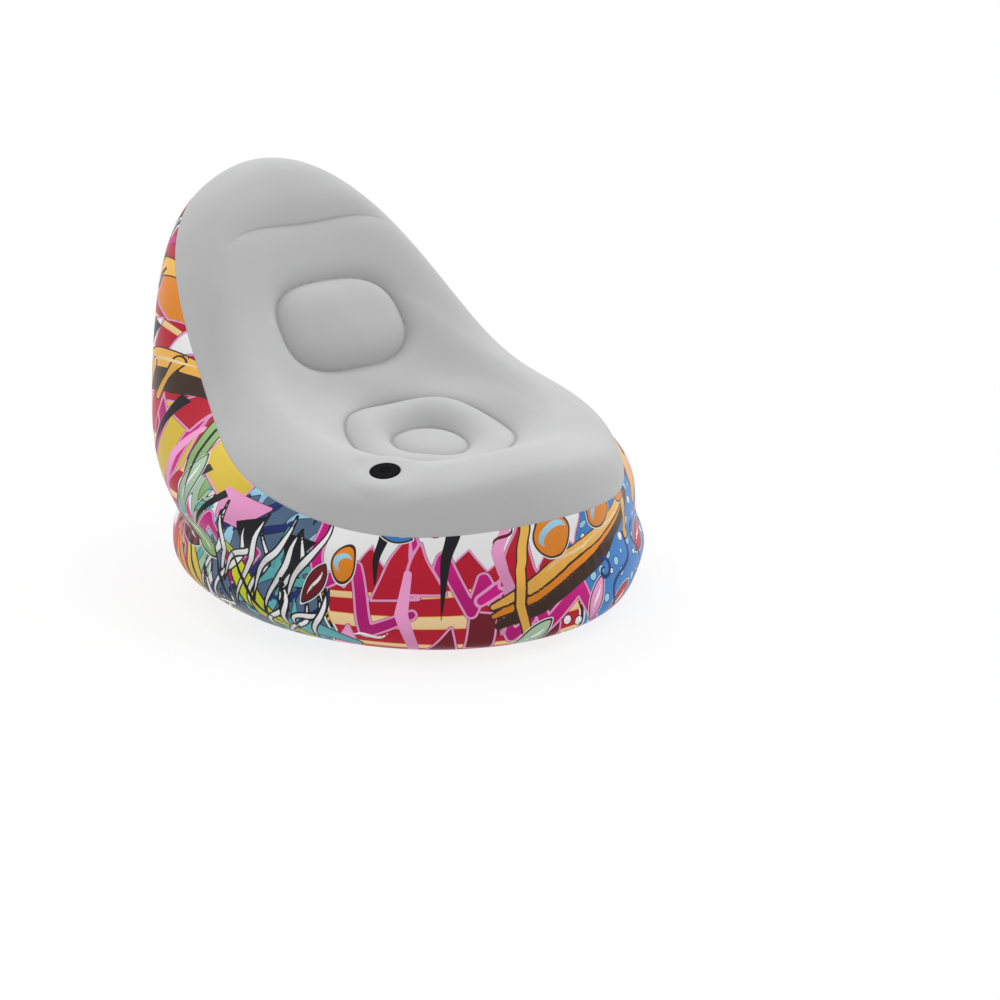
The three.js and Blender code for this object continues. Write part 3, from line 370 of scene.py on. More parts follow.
valve_place = np.array([VALVE_ANGLE]), np.array([[VALVE_STATION]])
valve_axis = smooth_normal(BODY, *valve_place)[0, 0]
valve_centre = smooth_point(BODY, *valve_place)[0, 0] - VALVE_SINK * valve_axis
from_valve = skin - valve_centre
height = from_valve @ valve_axis
flat = from_valve - height[..., None] * valve_axis
reach = np.linalg.norm(flat, axis=-1)
near_valve = 1 - soft_step(*VALVE_FLAT, reach)
near_valve = near_valve * (np.abs(height) < VALVE_LEVEL)
skin = skin - (height * near_valve)[..., None] * valve_axis

seam_gap = np.linalg.norm(skin - skin[-1:], axis=-1)
tuck = np.where(s > SEAM - 0.5, fold(seam_gap, *SEAM_SHOULDER), 0) * SEAM_TUCK
skin = skin - normal * tuck[..., None]
lip = skin[-1:] - normal[-1:] * LIP_DEPTH
print("valve centre", np.round(valve_centre + [0, SHIFT_Y, 0], 4), "axis", np.round(valve_axis, 4))


# %% Cut the valve's hole and build the sheet
def cut_hole(points, faces, centre, axis, radius):
    """Faces whose middle is nearer than the radius go. What is left of their rim moves onto the circle,
    and a short wall turns down from it."""
    arm = points - centre
    level = np.abs(arm @ axis) < 0.02
    arm = arm - (arm @ axis)[:, None] * axis
    reach = np.linalg.norm(arm, axis=1)
    middle = np.linalg.norm(arm[faces].mean(axis=1), axis=1)
    inside = (middle < radius) & level[faces].all(axis=1)
    kept = faces[~inside]
    rim = np.intersect1d(faces[inside], kept)
    points = points.copy()
    points[rim] = centre + arm[rim] * (radius / reach[rim])[:, None]
    side = np.cross(axis, arm[rim[0]])
    turn = np.arctan2(arm[rim] @ side / np.linalg.norm(side), arm[rim] @ arm[rim[0]] / reach[rim[0]])
    rim = rim[np.argsort(turn)]
    down = np.arange(len(rim)) + len(points)
    points = np.concatenate([points, points[rim] - SHEET_THICKNESS * axis])
    wall = np.stack([rim, np.roll(rim, -1), np.roll(down, -1), down], -1)
    print("the valve's hole has", len(rim), "points on its rim")
    return points, np.concatenate([kept, wall])


rows = np.concatenate([skin, lip])
points = np.concatenate([rows.reshape(-1, 3), [[0, SEAT_CENTRE, SEAT_MIDDLE_HEIGHT + BUTTON_CROWN]]])
faces = grid_faces(len(rows), FLOCK_COLUMNS)
pole = np.full(FLOCK_COLUMNS, len(points) - 1)
first = np.arange(FLOCK_COLUMNS)
fan = np.stack([pole, first, np.roll(first, -1)], -1)
points, faces = cut_hole(points, faces, valve_centre, valve_axis, VALVE_HOLE)
points[:, 1] += SHIFT_Y
flocked = add_mesh("flocked_skin", points, faces, fan)


def whole_sheet(values, lip_value, pole_value, extra):
    """Values of the grid, then of the lip, the pole and the hole's wall, in the order of the points."""
    lip_values = np.full(FLOCK_COLUMNS, lip_value)
    return np.concatenate([values.ravel(), lip_values, [pole_value], np.full(extra, lip_value)])


extra = len(points) - len(rows) * FLOCK_COLUMNS - 1
add_number(flocked, "to_weld", whole_sheet(to_weld, 1, 1, extra))
add_number(flocked, "to_groove", whole_sheet(to_groove, 1, 1, extra))
add_number(flocked, "groove_fade", whole_sheet(groove_fade * np.ones_like(to_groove), 0, 0, extra))
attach(flocked, "root")
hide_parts("flocked_top_sheet")

# %% [markdown]
# ## The printed wall
# One printed vinyl sheet goes from the seam down to the floor. A web inside draws it in at the waist,
# so it makes a sharp crease there, with small puckers where the tight web meets the full ring. It is
# the same kind of grid, and it ends in a lip at the seam that meets the flocked sheet's lip. The grid is
# fine, with a point every 4 mm, because the lines of the print below are stored at its points.

# %% Rows and columns of the printed wall
WALL_COLUMNS = 840
wall_angles = np.arange(WALL_COLUMNS) * 2 * np.pi / WALL_COLUMNS
upper_rows = np.concatenate([
    [6.0, 6.008, 6.018, 6.03, 6.05],
    pieces_of((6.08, 7.0, 90), (7.0, 7.92, 66)),
    [7.92, 7.95, 7.97, 7.985, 7.995],
])
lower_rows = np.concatenate([[0.0, 0.01, 0.03, 0.06, 0.10], pieces_of((0.15, 3.9, 50)), [3.9, 3.95, 4.0]])
PUCKERS = 96
PUCKER_HEIGHT = 0.0007
PUCKER_REACH = 0.012
CREASE_DEPTH = 0.0009  # less than the waist web's edge lies behind the sheet
CREASE_SHOULDER = (0.006, 0.001)


def wall_part(stations, rows, crease_row):
    """The wall's points, drawn in along the normal: a fold at the crease, and beside it puckers,
    ripple * gap / reach * exp(1 - gap / reach), which are highest at their reach from the crease."""
    s = np.broadcast_to(rows[:, None], (len(rows), WALL_COLUMNS))
    points = smooth_point(stations, wall_angles, s)
    normal = smooth_normal(stations, wall_angles, s)
    gap = np.linalg.norm(points - points[crease_row], axis=-1)
    ripple = np.sin(PUCKERS * wall_angles + 2.1 * np.sin(5 * wall_angles))
    ripple = ripple * (0.5 + 0.5 * np.sin(7 * wall_angles + 1))
    pull = PUCKER_HEIGHT * ripple * gap / PUCKER_REACH * np.exp(1 - gap / PUCKER_REACH)
    pull = pull + CREASE_DEPTH * fold(gap, *CREASE_SHOULDER)
    return points - normal * pull[..., None], normal


upper, upper_normal = wall_part(BODY, upper_rows, -1)
lower, _ = wall_part(BASE, lower_rows, 0)
seam_gap = np.linalg.norm(upper - upper[:1], axis=-1)
upper = upper - upper_normal * (SEAM_TUCK * fold(seam_gap, *SEAM_SHOULDER))[..., None]
lip = upper[:1] - upper_normal[:1] * LIP_DEPTH
crease = (upper[-1:] + lower[:1]) / 2
wall_rows = np.concatenate([lip, upper, crease, lower[1:]])
waist_row = len(upper) + 1
wall_points = wall_rows.reshape(-1, 3) + [0, SHIFT_Y, 0]
printed = add_mesh("printed_wall", wall_points, grid_faces(len(wall_rows), WALL_COLUMNS))
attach(printed, "root")
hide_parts("printed_wall_sheet")

steps = np.linalg.norm(np.diff(wall_rows, axis=0), axis=-1)
run = np.concatenate([np.zeros((1, WALL_COLUMNS)), np.cumsum(steps, axis=0)])
wall_v = run[waist_row] - run
wall_u = np.broadcast_to(wall_angles * HALF_WIDTH, wall_v.shape)
print("above the waist:", wall_v[0].min().round(3), "to", wall_v[0].max().round(3), "m of wall")
print("below the waist:", -wall_v[-1].max().round(3), "to", -wall_v[-1].min().round(3), "m of wall")

# %% [markdown]
# ## The print, as layers of ink
# Such a wall is printed flat before it is welded: bright inks over each other, most shapes with a line
# round them. An image texture would need a picture. Here every shape is a formula for the distance to
# its edge, below zero inside, worked out at each point of the wall in the flat sheet's own measures: u
# runs round the chair and v climbs from the waist. The material then cuts the distance off sharply, so
# the edges stay crisp from close by. The pattern is a generic one of shards, spikes, ribbons, reeds,
# drops, leaves and scrolls.

# %% Inks
def ink(red, green, blue):
    """Linear light from the 0 to 255 numbers of a screen: ((c + 0.055) / 1.055) ** 2.4."""
    return tuple(((c / 255 + 0.055) / 1.055) ** 2.4 for c in (red, green, blue))


INKS = {
    "crimson": ink(190, 22, 48), "maroon": ink(112, 22, 34), "cream": ink(253, 217, 165),
    "white": ink(246, 246, 246), "magenta": ink(198, 22, 128), "pink": ink(240, 160, 208),
    "black": ink(24, 22, 28), "brown": ink(62, 42, 32), "steel": ink(84, 110, 138),
    "sky": ink(62, 132, 205), "pale": ink(160, 214, 240), "navy": ink(30, 48, 110),
    "orange": ink(238, 142, 36), "gold": ink(246, 186, 84), "mustard": ink(222, 192, 62),
    "lime": ink(206, 214, 44), "leaf": ink(150, 190, 120), "mint": ink(172, 200, 172),
    "teal": ink(96, 178, 184),
}
print(len(INKS), "inks")


# %% Round shapes: distance to the edge, below zero inside
def disc(x, y, radius):
    """sqrt(x2 + y2) - radius."""
    return np.hypot(x, y) - radius


def oval(x, y, half_long, half_wide):
    """(sqrt((x/a)2 + (y/b)2) - 1) times the smaller half axis."""
    return (np.hypot(x / half_long, y / half_wide) - 1) * min(half_long, half_wide)


def leaf(x, y, half_long, half_wide):
    """Where two equal discs lap: the distance to the further one's edge."""
    radius = (half_long**2 + half_wide**2) / (2 * half_wide)
    return np.hypot(x, np.abs(y) + radius - half_wide) - radius


def crescent(x, y, radius, bite):
    """A disc without a second disc that stands bite to the right of it."""
    return np.maximum(disc(x, y, radius), radius * 0.92 - np.hypot(x - bite, y))


print("round shapes: disc, oval, leaf and crescent")


# %% Shapes with straight sides
def to_side(x, y, start, end):
    """Distance to a straight side, and the share t of the way along it where it is nearest."""
    across, up = end[0] - start[0], end[1] - start[1]
    t = ((x - start[0]) * across + (y - start[1]) * up) / (across**2 + up**2 + 1e-12)
    t = np.clip(t, 0, 1)
    return np.hypot(x - start[0] - t * across, y - start[1] - t * up), t


def polygon(x, y, *corners):
    """Distance to the nearest side, below zero where a level ray crosses an odd number of sides."""
    ends = np.array(corners).reshape(-1, 2)
    nearest = np.full(x.shape, 9.0)
    inside = np.zeros(x.shape, bool)
    for (ax, ay), (bx, by) in zip(ends, np.roll(ends, -1, axis=0)):
        nearest = np.minimum(nearest, to_side(x, y, (ax, ay), (bx, by))[0])
        inside ^= ((ay > y) != (by > y)) & (x < ax + (y - ay) * (bx - ax) / (by - ay + 1e-12))
    return np.where(inside, -nearest, nearest)


def wedge(x, y, half_foot, height, lean):
    """A triangle on its foot, with the tip moved aside by lean."""
    return polygon(x, y, -half_foot, 0, half_foot, 0, lean, height)


print("straight shapes: polygon and wedge")


# %% Shapes along a path
def ribbon(x, y, path, widths):
    """Distance to the nearest piece of the path, less the half width there."""
    path = np.asarray(path, float)
    widths = np.interp(np.linspace(0, 1, len(path)), np.linspace(0, 1, len(widths)), widths)
    nearest = np.full(x.shape, 9.0)
    for start, end, first, last in zip(path[:-1], path[1:], widths[:-1], widths[1:]):
        away, t = to_side(x, y, start, end)
        nearest = np.minimum(nearest, away - first - t * (last - first))
    return nearest


def spiral(x, y, radius, turns, width):
    """A ribbon on r = radius * share ** 0.8, with a tail that runs on outwards."""
    share = np.linspace(0.08, 1.15, int(14 * turns) + 8)
    r, turn = radius * share**0.8, turns * 2 * np.pi * share
    path = np.stack([r * np.cos(turn), r * np.sin(turn)], -1)
    return ribbon(x, y, path, (width * 0.5, width, width * 1.1, width * 0.3))


def swoosh(x, y, length, rise, swing, width):
    """A ribbon on y = rise * t + swing * sin(2 pi t), thick in the middle and pointed at both ends."""
    t = np.linspace(0, 1, 26)
    path = np.stack([(t - 0.5) * length, (t - 0.5) * rise + swing * np.sin(2 * np.pi * t)], -1)
    return ribbon(x, y, path, (0, width * 0.7, width, width * 0.8, 0))


def band(x, y, length, swing, waves, width):
    """A ribbon of even width on y = swing * sin(2 pi * waves * t)."""
    t = np.linspace(0, 1, 10 + int(14 * waves))
    path = np.stack([(t - 0.5) * length, swing * np.sin(2 * np.pi * waves * t)], -1)
    return ribbon(x, y, path, (width, width))


def drip(x, y, length, width):
    """A run of ink: narrow in the middle, with a drop at its foot."""
    return ribbon(x, y, [(0, 0), (0, -length * 0.5), (0, -length)], (width * 1.5, width * 0.7, width * 1.2))


print("shapes along a path: ribbon, spiral, swoosh, band and drip")

# %% [markdown]
# ### Laying the shapes
# Each layer is a table: shape, ink, place round the chair in degrees, height over the waist in
# centimetres, turn in degrees, and the shape's own sizes in centimetres. A later shape lies on an
# earlier one and pushes it back by the width of the line, so that one line parts them. The ink is a
# little lighter at the top of each shape, as sprayed paint is.

# %% Panels of ground colour
PANELS = [  # degrees round the chair where a panel starts, and its ink
    (4, "sky"), (50, "brown"), (76, "crimson"), (118, "steel"), (152, "gold"), (184, "black"),
    (208, "crimson"), (259, "mint"), (271, "steel"), (305, "crimson"), (364, "sky"),
]
SAW_TOOTH = 0.11  # metres of height
SAW_DEPTH = 2.4  # degrees round the chair
SAW_LEAN = 14  # degrees round the chair for each metre of height
SAW_SLANT = 0.72  # the distance to a slanting edge, as a share of the distance round the chair


def panel_place(u, v):
    """Degrees round the chair, moved sideways by a saw edge that leans with the height."""
    saw = np.abs((v / SAW_TOOTH) % 2 - 1) - 0.5
    return (np.degrees(u / HALF_WIDTH) + SAW_DEPTH * saw + SAW_LEAN * v) % 360


starts = np.array([start for start, _ in PANELS])
place = panel_place(wall_u, wall_v)
place = np.where(place < starts[0], place + 360, place)
panel = np.searchsorted(starts, place, side="right") - 1
ground = np.array([INKS[name] for _, name in PANELS])[panel]
panel_edge = np.abs(place[..., None] - starts).min(axis=-1) * math.radians(1) * HALF_WIDTH * SAW_SLANT
panel_ink = np.array([name for _, name in PANELS])[panel]
print("panels:", ", ".join(name for _, name in PANELS[:-1]))


# %% Stamp a table of shapes
SHAPE_REACH = 45  # centimetres from a shape's place, beyond which it isn't worked out
LIGHTER = 0.15
ROOM_MARGIN = 0.004  # how far inside a panel's edge a layer with a room ends


def stamp_layer(table, gap=0.0, room=None):
    """Lays the shapes over each other: distance = min(new, max(old, gap - new)), and the ink changes
    halfway in the gap, which the line fills. Without a gap the nearest shape's ink shows. A room is a
    list of panels outside which the layer doesn't show."""
    distance = np.full(wall_v.shape, 0.5)
    colour = np.zeros(wall_v.shape + (3,))
    half_turn = math.pi * HALF_WIDTH
    for shape, name, angle, height, turn, *sizes in table:
        turn = math.radians(turn)
        du = ((wall_u - math.radians(angle) * HALF_WIDTH + half_turn) % (2 * half_turn) - half_turn) * 100
        dv = wall_v * 100 - height
        near = (np.abs(du) < SHAPE_REACH) & (np.abs(dv) < SHAPE_REACH)
        x = du[near] * math.cos(turn) + dv[near] * math.sin(turn)
        y = dv[near] * math.cos(turn) - du[near] * math.sin(turn)
        edge = shape(x, y, *sizes) / 100
        depth = max(-edge.min(), 0.004)
        wins = edge < (gap / 2 if gap else distance[near])
        tone = 1 + LIGHTER * np.clip(dv[near] / (250 * depth), -1, 1)
        below = np.maximum(distance[near], gap - edge) if gap else distance[near]
        distance[near] = np.minimum(edge, below)
        colour[near] = np.where(wins[:, None], np.array(INKS[name]) * tone[:, None], colour[near])
    if room is not None:
        to_room = np.where(np.isin(panel_ink, room), ROOM_MARGIN - panel_edge, panel_edge)
        distance = np.maximum(distance, to_room)
    return distance, np.clip(colour, 0, 1)


def scatter(seed, count, gap, shapes, inks, angles, heights, turns=(0, 360)):
    """Places drawn at random, kept only where no kept place is nearer than the gap, in centimetres."""
    draw = np.random.default_rng(seed)
    kept, table = [], []
    for _ in range(count):
        angle, height = draw.uniform(*angles), draw.uniform(*heights)
        here = np.array([math.radians(angle) * HALF_WIDTH * 100, height])
        pick, colour, turn = draw.integers(len(shapes)), draw.integers(len(inks)), draw.uniform(*turns)
        if all(np.hypot(*(here - other)) > gap for other in kept):
            kept.append(here)
            shape, *sizes = shapes[pick]
            table.append((shape, inks[colour], angle, height, turn, *sizes))
    return table


# %% Layer 1: stripes, streaks and dots on the grounds
STRIPES = [  # height and tilt of a stripe, and half its width in centimetres
    (-3.2, 1, 0.5), (-8.8, -1, 1.2), (-14.4, 0, 0.5), (7, 2, 0.6), (15, -2, 1.2), (23, 1, 0.5),
    (31, -2, 1.2), (39, 2, 0.6),
]
stripes = [(band, "cream", angle, height, tilt, 72, 0, 1, half)
           for angle in (334, 97, 234) for height, tilt, half in STRIPES]
stripe_layer = stamp_layer(stripes, room=["crimson"])
long, short = (swoosh, 15, 4, 1.4, 1.1), (swoosh, 10, -3, 0.9, 0.9)
dots, flecks = [(disc, 0.55), (disc, 0.9), (disc, 0.35)], [(leaf, 5, 1.2), (swoosh, 9, 3, 1, 0.9)]
streaks = []
for row in (
    (3, 200, 4.4, [long, short], ["pale", "teal", "navy"], (270, 305), (-17, 20), (40, 75)),
    (4, 200, 5.0, [long, short], ["pale", "teal", "navy"], (116, 154), (-17, 52), (20, 60)),
    (5, 500, 2.8, dots, ["white", "pale"], (2, 52), (-17, 8)),
    (6, 200, 4.6, flecks, ["leaf", "teal", "white"], (256, 273), (-17, 24), (60, 110)),
    (7, 200, 5.0, [long, short], ["orange", "gold", "maroon"], (46, 80), (-17, 26), (10, 50)),
    (8, 300, 6.0, [(disc, 1.6), long], ["orange", "cream", "mustard"], (150, 186), (-17, 60), (20, 80)),
    (9, 300, 6.0, [(disc, 0.9), long], ["maroon", "steel", "magenta"], (180, 212), (-17, 60), (20, 80)),
):
    streaks += scatter(*row)
streak_layer = stamp_layer(streaks)
print(len(stripes), "stripes and", len(streaks), "streaks and dots")

# %% Layer 2: a white sky with a ragged foot at the front, and bold shards all round, with a pink line
shards = [
    (polygon, "white", 333, 0, 0, -26, 16, 29, 16, 29, 3, 24, 7, 19, -2, 14, 5, 9, 1, 5, 6, -1, 0, -6, 6,
     -10, 0.5, -15, 7, -20, -2, -26, 3),
    (polygon, "mustard", 243, 15, 0, -8, 9, 3, 12, 9, -1, 4, -9, -5, -6),
    (polygon, "mustard", 267, 14, 0, -9, 9, 10, 2, 9, -4, -8, 3),
    (polygon, "maroon", 357, -13, 0, -3, 6, 3, 6, 2, -6, -4, -6),
    (polygon, "pink", 279, 11, 0, -6, 3, 7, 1, 3, -4, -4, -3),
    (polygon, "white", 230, 34, 0, -5, 9, 6, 7, 3, 0, 7, -6, -4, -8),
    (polygon, "orange", 218, 44, 0, -8, 8, 6, 9, 8, 0, 1, -4, -6, -2),
    (polygon, "sky", 224, 47, 0, 0, 6, 7, 5, 8, -3, 2, -2),
    (polygon, "maroon", 341, -12, 0, -2, 5, 3, 4, 2, -4, -3, -3),
]
shards += [(wedge, *row) for row in [
    ("maroon", 332, -17, 0, 3.4, 7, 2), ("pink", 310, -17, 6, 3, 7, 2), ("white", 238, -3, 0, 5, 14, -3),
    ("orange", 222, 4, 0, 6, 19, -2), ("white", 352, -9, 178, 2.4, 8, -2),
]]
splinters = [(wedge, 6, 19, 3), (wedge, 8, 16, -3), (polygon, -9, -5, 8, -7, 10, 4, 1, 2, 4, 10, -7, 8)]
splinter_inks = ["crimson", "white", "mustard", "orange", "crimson", "pink"]
shards += scatter(21, 120, 17, splinters, splinter_inks, (56, 214), (-10, 54), (-35, 35))
shard_layer = stamp_layer(shards, 0.0055)
print(len(shards), "shards")

# %% Layer 3: magenta bars that bend sharply and crimson teeth, both with a pink line
ZIGZAGS = [  # path in centimetres and half widths
    ([(-13, 9), (-8, -1), (-6, 5), (-1, -6), (2, 0), (7, -12), (14, -7)],
     (0.5, 1.0, 1.2, 1.0, 1.2, 1.0, 0.5)),
    ([(-8, 13), (-7, -1), (1, 3), (3, -10), (12, -6)], (0.9, 1.2, 1.0, 1.2, 0.7)),
    ([(-5, 22), (-3, 8), (-7, -2), (3, -8), (5, -20)], (0.9, 1.4, 1.1, 1.3, 0.8)),
    ([(-14, 6), (-3, 10), (-2, -3), (8, 2), (12, -12)], (0.8, 1.3, 1.1, 1.3, 0.8)),
]
bolts = [(ribbon, "magenta", *place, *ZIGZAGS[kind]) for *place, kind in [
    (312, -1, 0, 1), (340, -1, 0, 0), (358, -9, 8, 3), (254, 5, 6, 2), (234, 28, -6, 2), (272, 4, 20, 1),
    (219, 8, 0, 0),
]]
bolts += [(wedge, "crimson", *row) for row in [
    (322, -4, 2, 4.6, 13, 2), (328.5, -3, -2, 4.2, 10, -1.6), (351, -3, -4, 4.4, 15, -2),
    (246, -12, 4, 5, 19, 3), (241, 22, -8, 4.6, 17, 2), (227, 16, 4, 5, 18, 3),
]]
bolts += scatter(22, 60, 26, [(ribbon, *row) for row in ZIGZAGS], ["magenta", "magenta", "lime"],
                 (60, 208), (-4, 50), (-30, 30))
bolt_layer = stamp_layer(bolts, 0.006)
print(len(bolts), "bars and teeth")

# %% Layer 4: black spikes that hang from the seam, and soft pink strips
spikes = [(wedge, *row, 1.5) for row in [
    ("black", 334.5, 10, 178, 1.6, 19), ("black", 318, 9, 184, 1.2, 12), ("maroon", 346, -5, 182, 1.3, 9),
    ("black", 273, 13, 150, 1.2, 14), ("black", 262, 17, 160, 1.3, 13), ("black", 238, 27, 176, 1.6, 18),
    ("black", 216, 38, 170, 2.0, 18), ("maroon", 249, -6, 180, 1.6, 11), ("black", 284, 9, 200, 3.0, 9),
    ("black", 299, 7, 170, 3.4, 9),
]]
spikes += [(ribbon, "pink", *place, 0, [(0, 11), (-1.4, 3), (1, -5), (-1, -14)], (0.8, 1.3, 1.1, 0.5))
           for place in ((347, 2), (325, -10), (249, 12), (225, 22))]
spikes += scatter(23, 90, 20, [(wedge, 2.0, 20, 1.5), (wedge, 3.4, 14, -2)],
                  ["black", "maroon", "black", "navy"], (58, 210), (-8, 52), (150, 210))
spike_layer = stamp_layer(spikes)
print(len(spikes), "spikes and strips")

# %% Layer 5: ribbons, drips and blades with a dark line
LONG = [(-22, -7), (-13, -4), (-4, 0), (5, 2.5), (13, 6), (22, 11)]
ribbons = [
    (ribbon, "brown", 10, -3.4, 0, LONG, (0.4, 2.2, 2.4, 1.7, 0.5)),
    (ribbon, "orange", 9, -1.4, 0, LONG, (0.4, 1.6, 1.6, 1.4, 0.6)),
    (ribbon, "gold", 9, 0.5, 0, LONG, (0.5, 1.5, 1.5, 1.6, 1.8)),
    (ribbon, "gold", 351, -2, 0, [(0, 13), (0.6, 4), (-0.6, -5), (1.6, -16)], (0.9, 1.0, 0.9, 0.7)),
    (drip, "gold", 30, 6, 0, 7, 0.8),
    (ribbon, "brown", 227, 26, 0, LONG[1:], (0.8, 2.4, 2.2, 0.8)),
    (ribbon, "gold", 226, 31, 0, LONG[1:], (1.8, 2.2, 2.0, 1.6)),
    (drip, "gold", 221, 29, 0, 11, 0.9), (drip, "gold", 229, 33, 0, 9, 0.8),
    (ribbon, "teal", 303, -14, 0, [(-9, -2), (0, 2), (9, -1)], (0.6, 2.0, 0.6)),
]
ribbons += [(ribbon, *place, LONG, (1.0, 2.2, 2.6, 2.2, 0.9)) for place in (
    ("gold", 66, 12, 4), ("lime", 134, 30, -66), ("orange", 166, 34, 8), ("teal", 194, 12, -20),
    ("gold", 198, 44, 6), ("pink", 176, -6, -18), ("orange", 92, 4, -24), ("teal", 206, -9, -22),
)]
BLADE = [(-12, 10), (-7, 3), (1, -4), (12, -11)]
BLADES = [  # ink, angle, height and turn
    ("lime", 289, -6, 0), ("steel", 282, -8, -4), ("mustard", 270, -8, 2), ("orange", 263, -9, 6),
    ("lime", 140, 4, -6), ("steel", 128, -4, -10), ("mustard", 148, 18, -14), ("leaf", 256, 22, -30),
    ("lime", 204, 22, 14),
]
ribbons += [(ribbon, *place, BLADE, (0.3, 1.8, 2.4, 1.7, 0.3)) for place in BLADES]
ribbon_layer = stamp_layer(ribbons, 0.005)
print(len(ribbons), "ribbons, drips and blades")


# %% Layer 6: reeds, white strokes with a black line
def reeds(angle, height, count, gap, length, width):
    """Strokes side by side that climb from the left, each leaning and swinging a little another way."""
    table = []
    for k in range(count):
        place = angle + gap * (k - count / 2), height + 2 * math.sin(2.3 * k), 66 + 12 * math.sin(1.7 * k)
        own_length = length * (0.9 + 0.2 * math.cos(2.9 * k))
        rise, swing = 3 + 2 * math.cos(k), 1.6 + 0.8 * math.sin(4.1 * k + 1)
        table.append((swoosh, "white", *place, own_length, rise, swing, width))
    return table


strokes = []
for row in (
    (288, 0, 10, 3.1, 21, 0.6), (300, -10, 5, 2.8, 13, 0.5), (274, -12, 4, 3, 12, 0.5),
    (131, 24, 9, 3.4, 34, 0.8), (140, -8, 6, 3, 16, 0.6), (192, 36, 8, 3.4, 32, 0.8),
    (198, -6, 6, 3, 18, 0.6), (70, -7, 5, 3, 16, 0.6),
):
    strokes += reeds(*row)
stroke_layer = stamp_layer(strokes, 0.0045)
print(len(strokes), "strokes")

# %% Layer 7: drops, leaves and sickles with a dark line and a thin white edge
drops = [
    (oval, "orange", 359, 6.5, -55, 5.6, 3.8), (oval, "orange", 14, 9, -50, 5.0, 3.4),
    (oval, "orange", 27, 10, -40, 3.6, 2.6), (leaf, "maroon", 256, 1, -20, 7, 2.6),
    (leaf, "leaf", 266, 1, 150, 6, 1.9), (leaf, "sky", 320, 9.5, 160, 4.2, 1.7),
    (leaf, "maroon", 303, -2, 60, 4.6, 1.6), (leaf, "mint", 353, -14, 35, 5, 1.7),
    (oval, "orange", 310, 2.5, 80, 3.6, 2.2), (leaf, "pink", 12, -10, 60, 4.6, 1.7),
    (leaf, "crimson", 22, -13, 30, 5, 1.8), (oval, "orange", 246, 37, 70, 6.0, 4.4),
    (crescent, "sky", 236, 42, 30, 4.0, 2.6), (leaf, "mint", 259, 12, 100, 7, 2.2),
    (leaf, "crimson", 40, -4, 20, 5.6, 2.2),
]
drops += scatter(31, 120, 19, [(oval, 6.4, 4.2), (crescent, 5.2, 3.2), (leaf, 9, 2.8), (leaf, 6.4, 3.0)],
                 ["orange", "pink", "mint", "sky", "maroon", "white", "teal"], (54, 214), (-12, 54))
drop_layer = stamp_layer(drops, 0.005)
print(len(drops), "drops, leaves and sickles")

# %% Layer 8: lights on the drops and leaves
lights = [(crescent, "pale", angle, height + 0.06 * size, 315, 0.56 * size, 0.3 * size)
          for shape, name, angle, height, turn, size, *_ in drops if shape is oval]
lights += [(swoosh, "white", angle, height, turn, 1.5 * size, 0, 0.3, 0.3)
           for shape, name, angle, height, turn, size, *_ in drops if shape is leaf and name != "white"]
lights += [(swoosh, "cream", *place, 16, 4, 0.5, 0.4) for place in (
    (6, 1, 6), (18, 4, 8), (226, 32, 12), (66, 13, 18), (166, 35, 20), (198, 45, 20),
)]
light_layer = stamp_layer(lights)
print(len(lights), "lights")

# %% Layer 9: loops and veins
scrolls = [(ribbon, "black", *place, BLADE, (0.05, 0.32, 0.42, 0.3, 0.05)) for _, *place in BLADES]
scrolls += [
    (band, "navy", 24, -7, 62, 15, 2.6, 1.0, 0.42), (band, "navy", 34, -8, 70, 17, 2.4, 1.5, 0.42),
    (spiral, "navy", 16, -5, 40, 2.6, 1.2, 0.4), (spiral, "navy", 43, -11, 160, 3.2, 1.3, 0.42),
    (swoosh, "crimson", 329, 9, 20, 6, 1, 1, 0.5), (swoosh, "maroon", 346, 8, 50, 6, 1, 1, 0.4),
    (swoosh, "black", 247, 0, 70, 10, 2, 1, 0.5), (spiral, "white", 212, 20, 20, 4.0, 1.3, 0.5),
    (swoosh, "white", 316, -12, 12, 9, 1, 1, 0.4),
]
loops = [(spiral, 4.6, 1.3, 0.55), (band, 20, 1.8, 1.5, 0.55), (swoosh, 20, 6, 2, 0.9)]
scrolls += scatter(41, 70, 24, loops, ["white", "black", "navy", "cream"], (54, 214), (-12, 54))
scroll_layer = stamp_layer(scrolls)
print(len(scrolls), "loops and veins")

# %% [markdown]
# ### Storing the layers on the wall
# Each layer's distance and ink become an attribute of the wall's points. Blender draws a square face as
# two triangles, and a slanting edge of the print turns to small teeth where the squares are cut the
# other way. A finer grid would help too, at the price of a heavy mesh, so each square is cut along the
# edge that runs through it.

# %% Attributes of the printed wall
LAYERS = [  # name, distances and colours, line colour, line width, halo colour, halo width
    ("panel line", (panel_edge, np.zeros(ground.shape)), "black", 0.0030, "white", 0.0030),
    ("stripes", stripe_layer, "gold", 0.0016, "gold", 0.0),
    ("streaks", streak_layer, "black", 0.0016, "black", 0.0),
    ("shards", shard_layer, "pink", 0.0042, "maroon", 0.0012),
    ("bolts", bolt_layer, "pink", 0.0044, "maroon", 0.0010),
    ("spikes", spike_layer, "black", 0.0, "black", 0.0),
    ("ribbons", ribbon_layer, "brown", 0.0036, "brown", 0.0),
    ("strokes", stroke_layer, "black", 0.0036, "black", 0.0),
    ("drops", drop_layer, "brown", 0.0036, "white", 0.0018),
    ("lights", light_layer, "white", 0.0, "white", 0.0),
    ("scrolls", scroll_layer, "black", 0.0, "black", 0.0),
]
add_colour(printed, "ground", ground)
for name, (distance, colour), *_ in LAYERS:
    add_number(printed, name + " edge", distance)
    add_colour(printed, name + " ink", colour)
print("attributes of the wall:", len(printed.data.attributes))


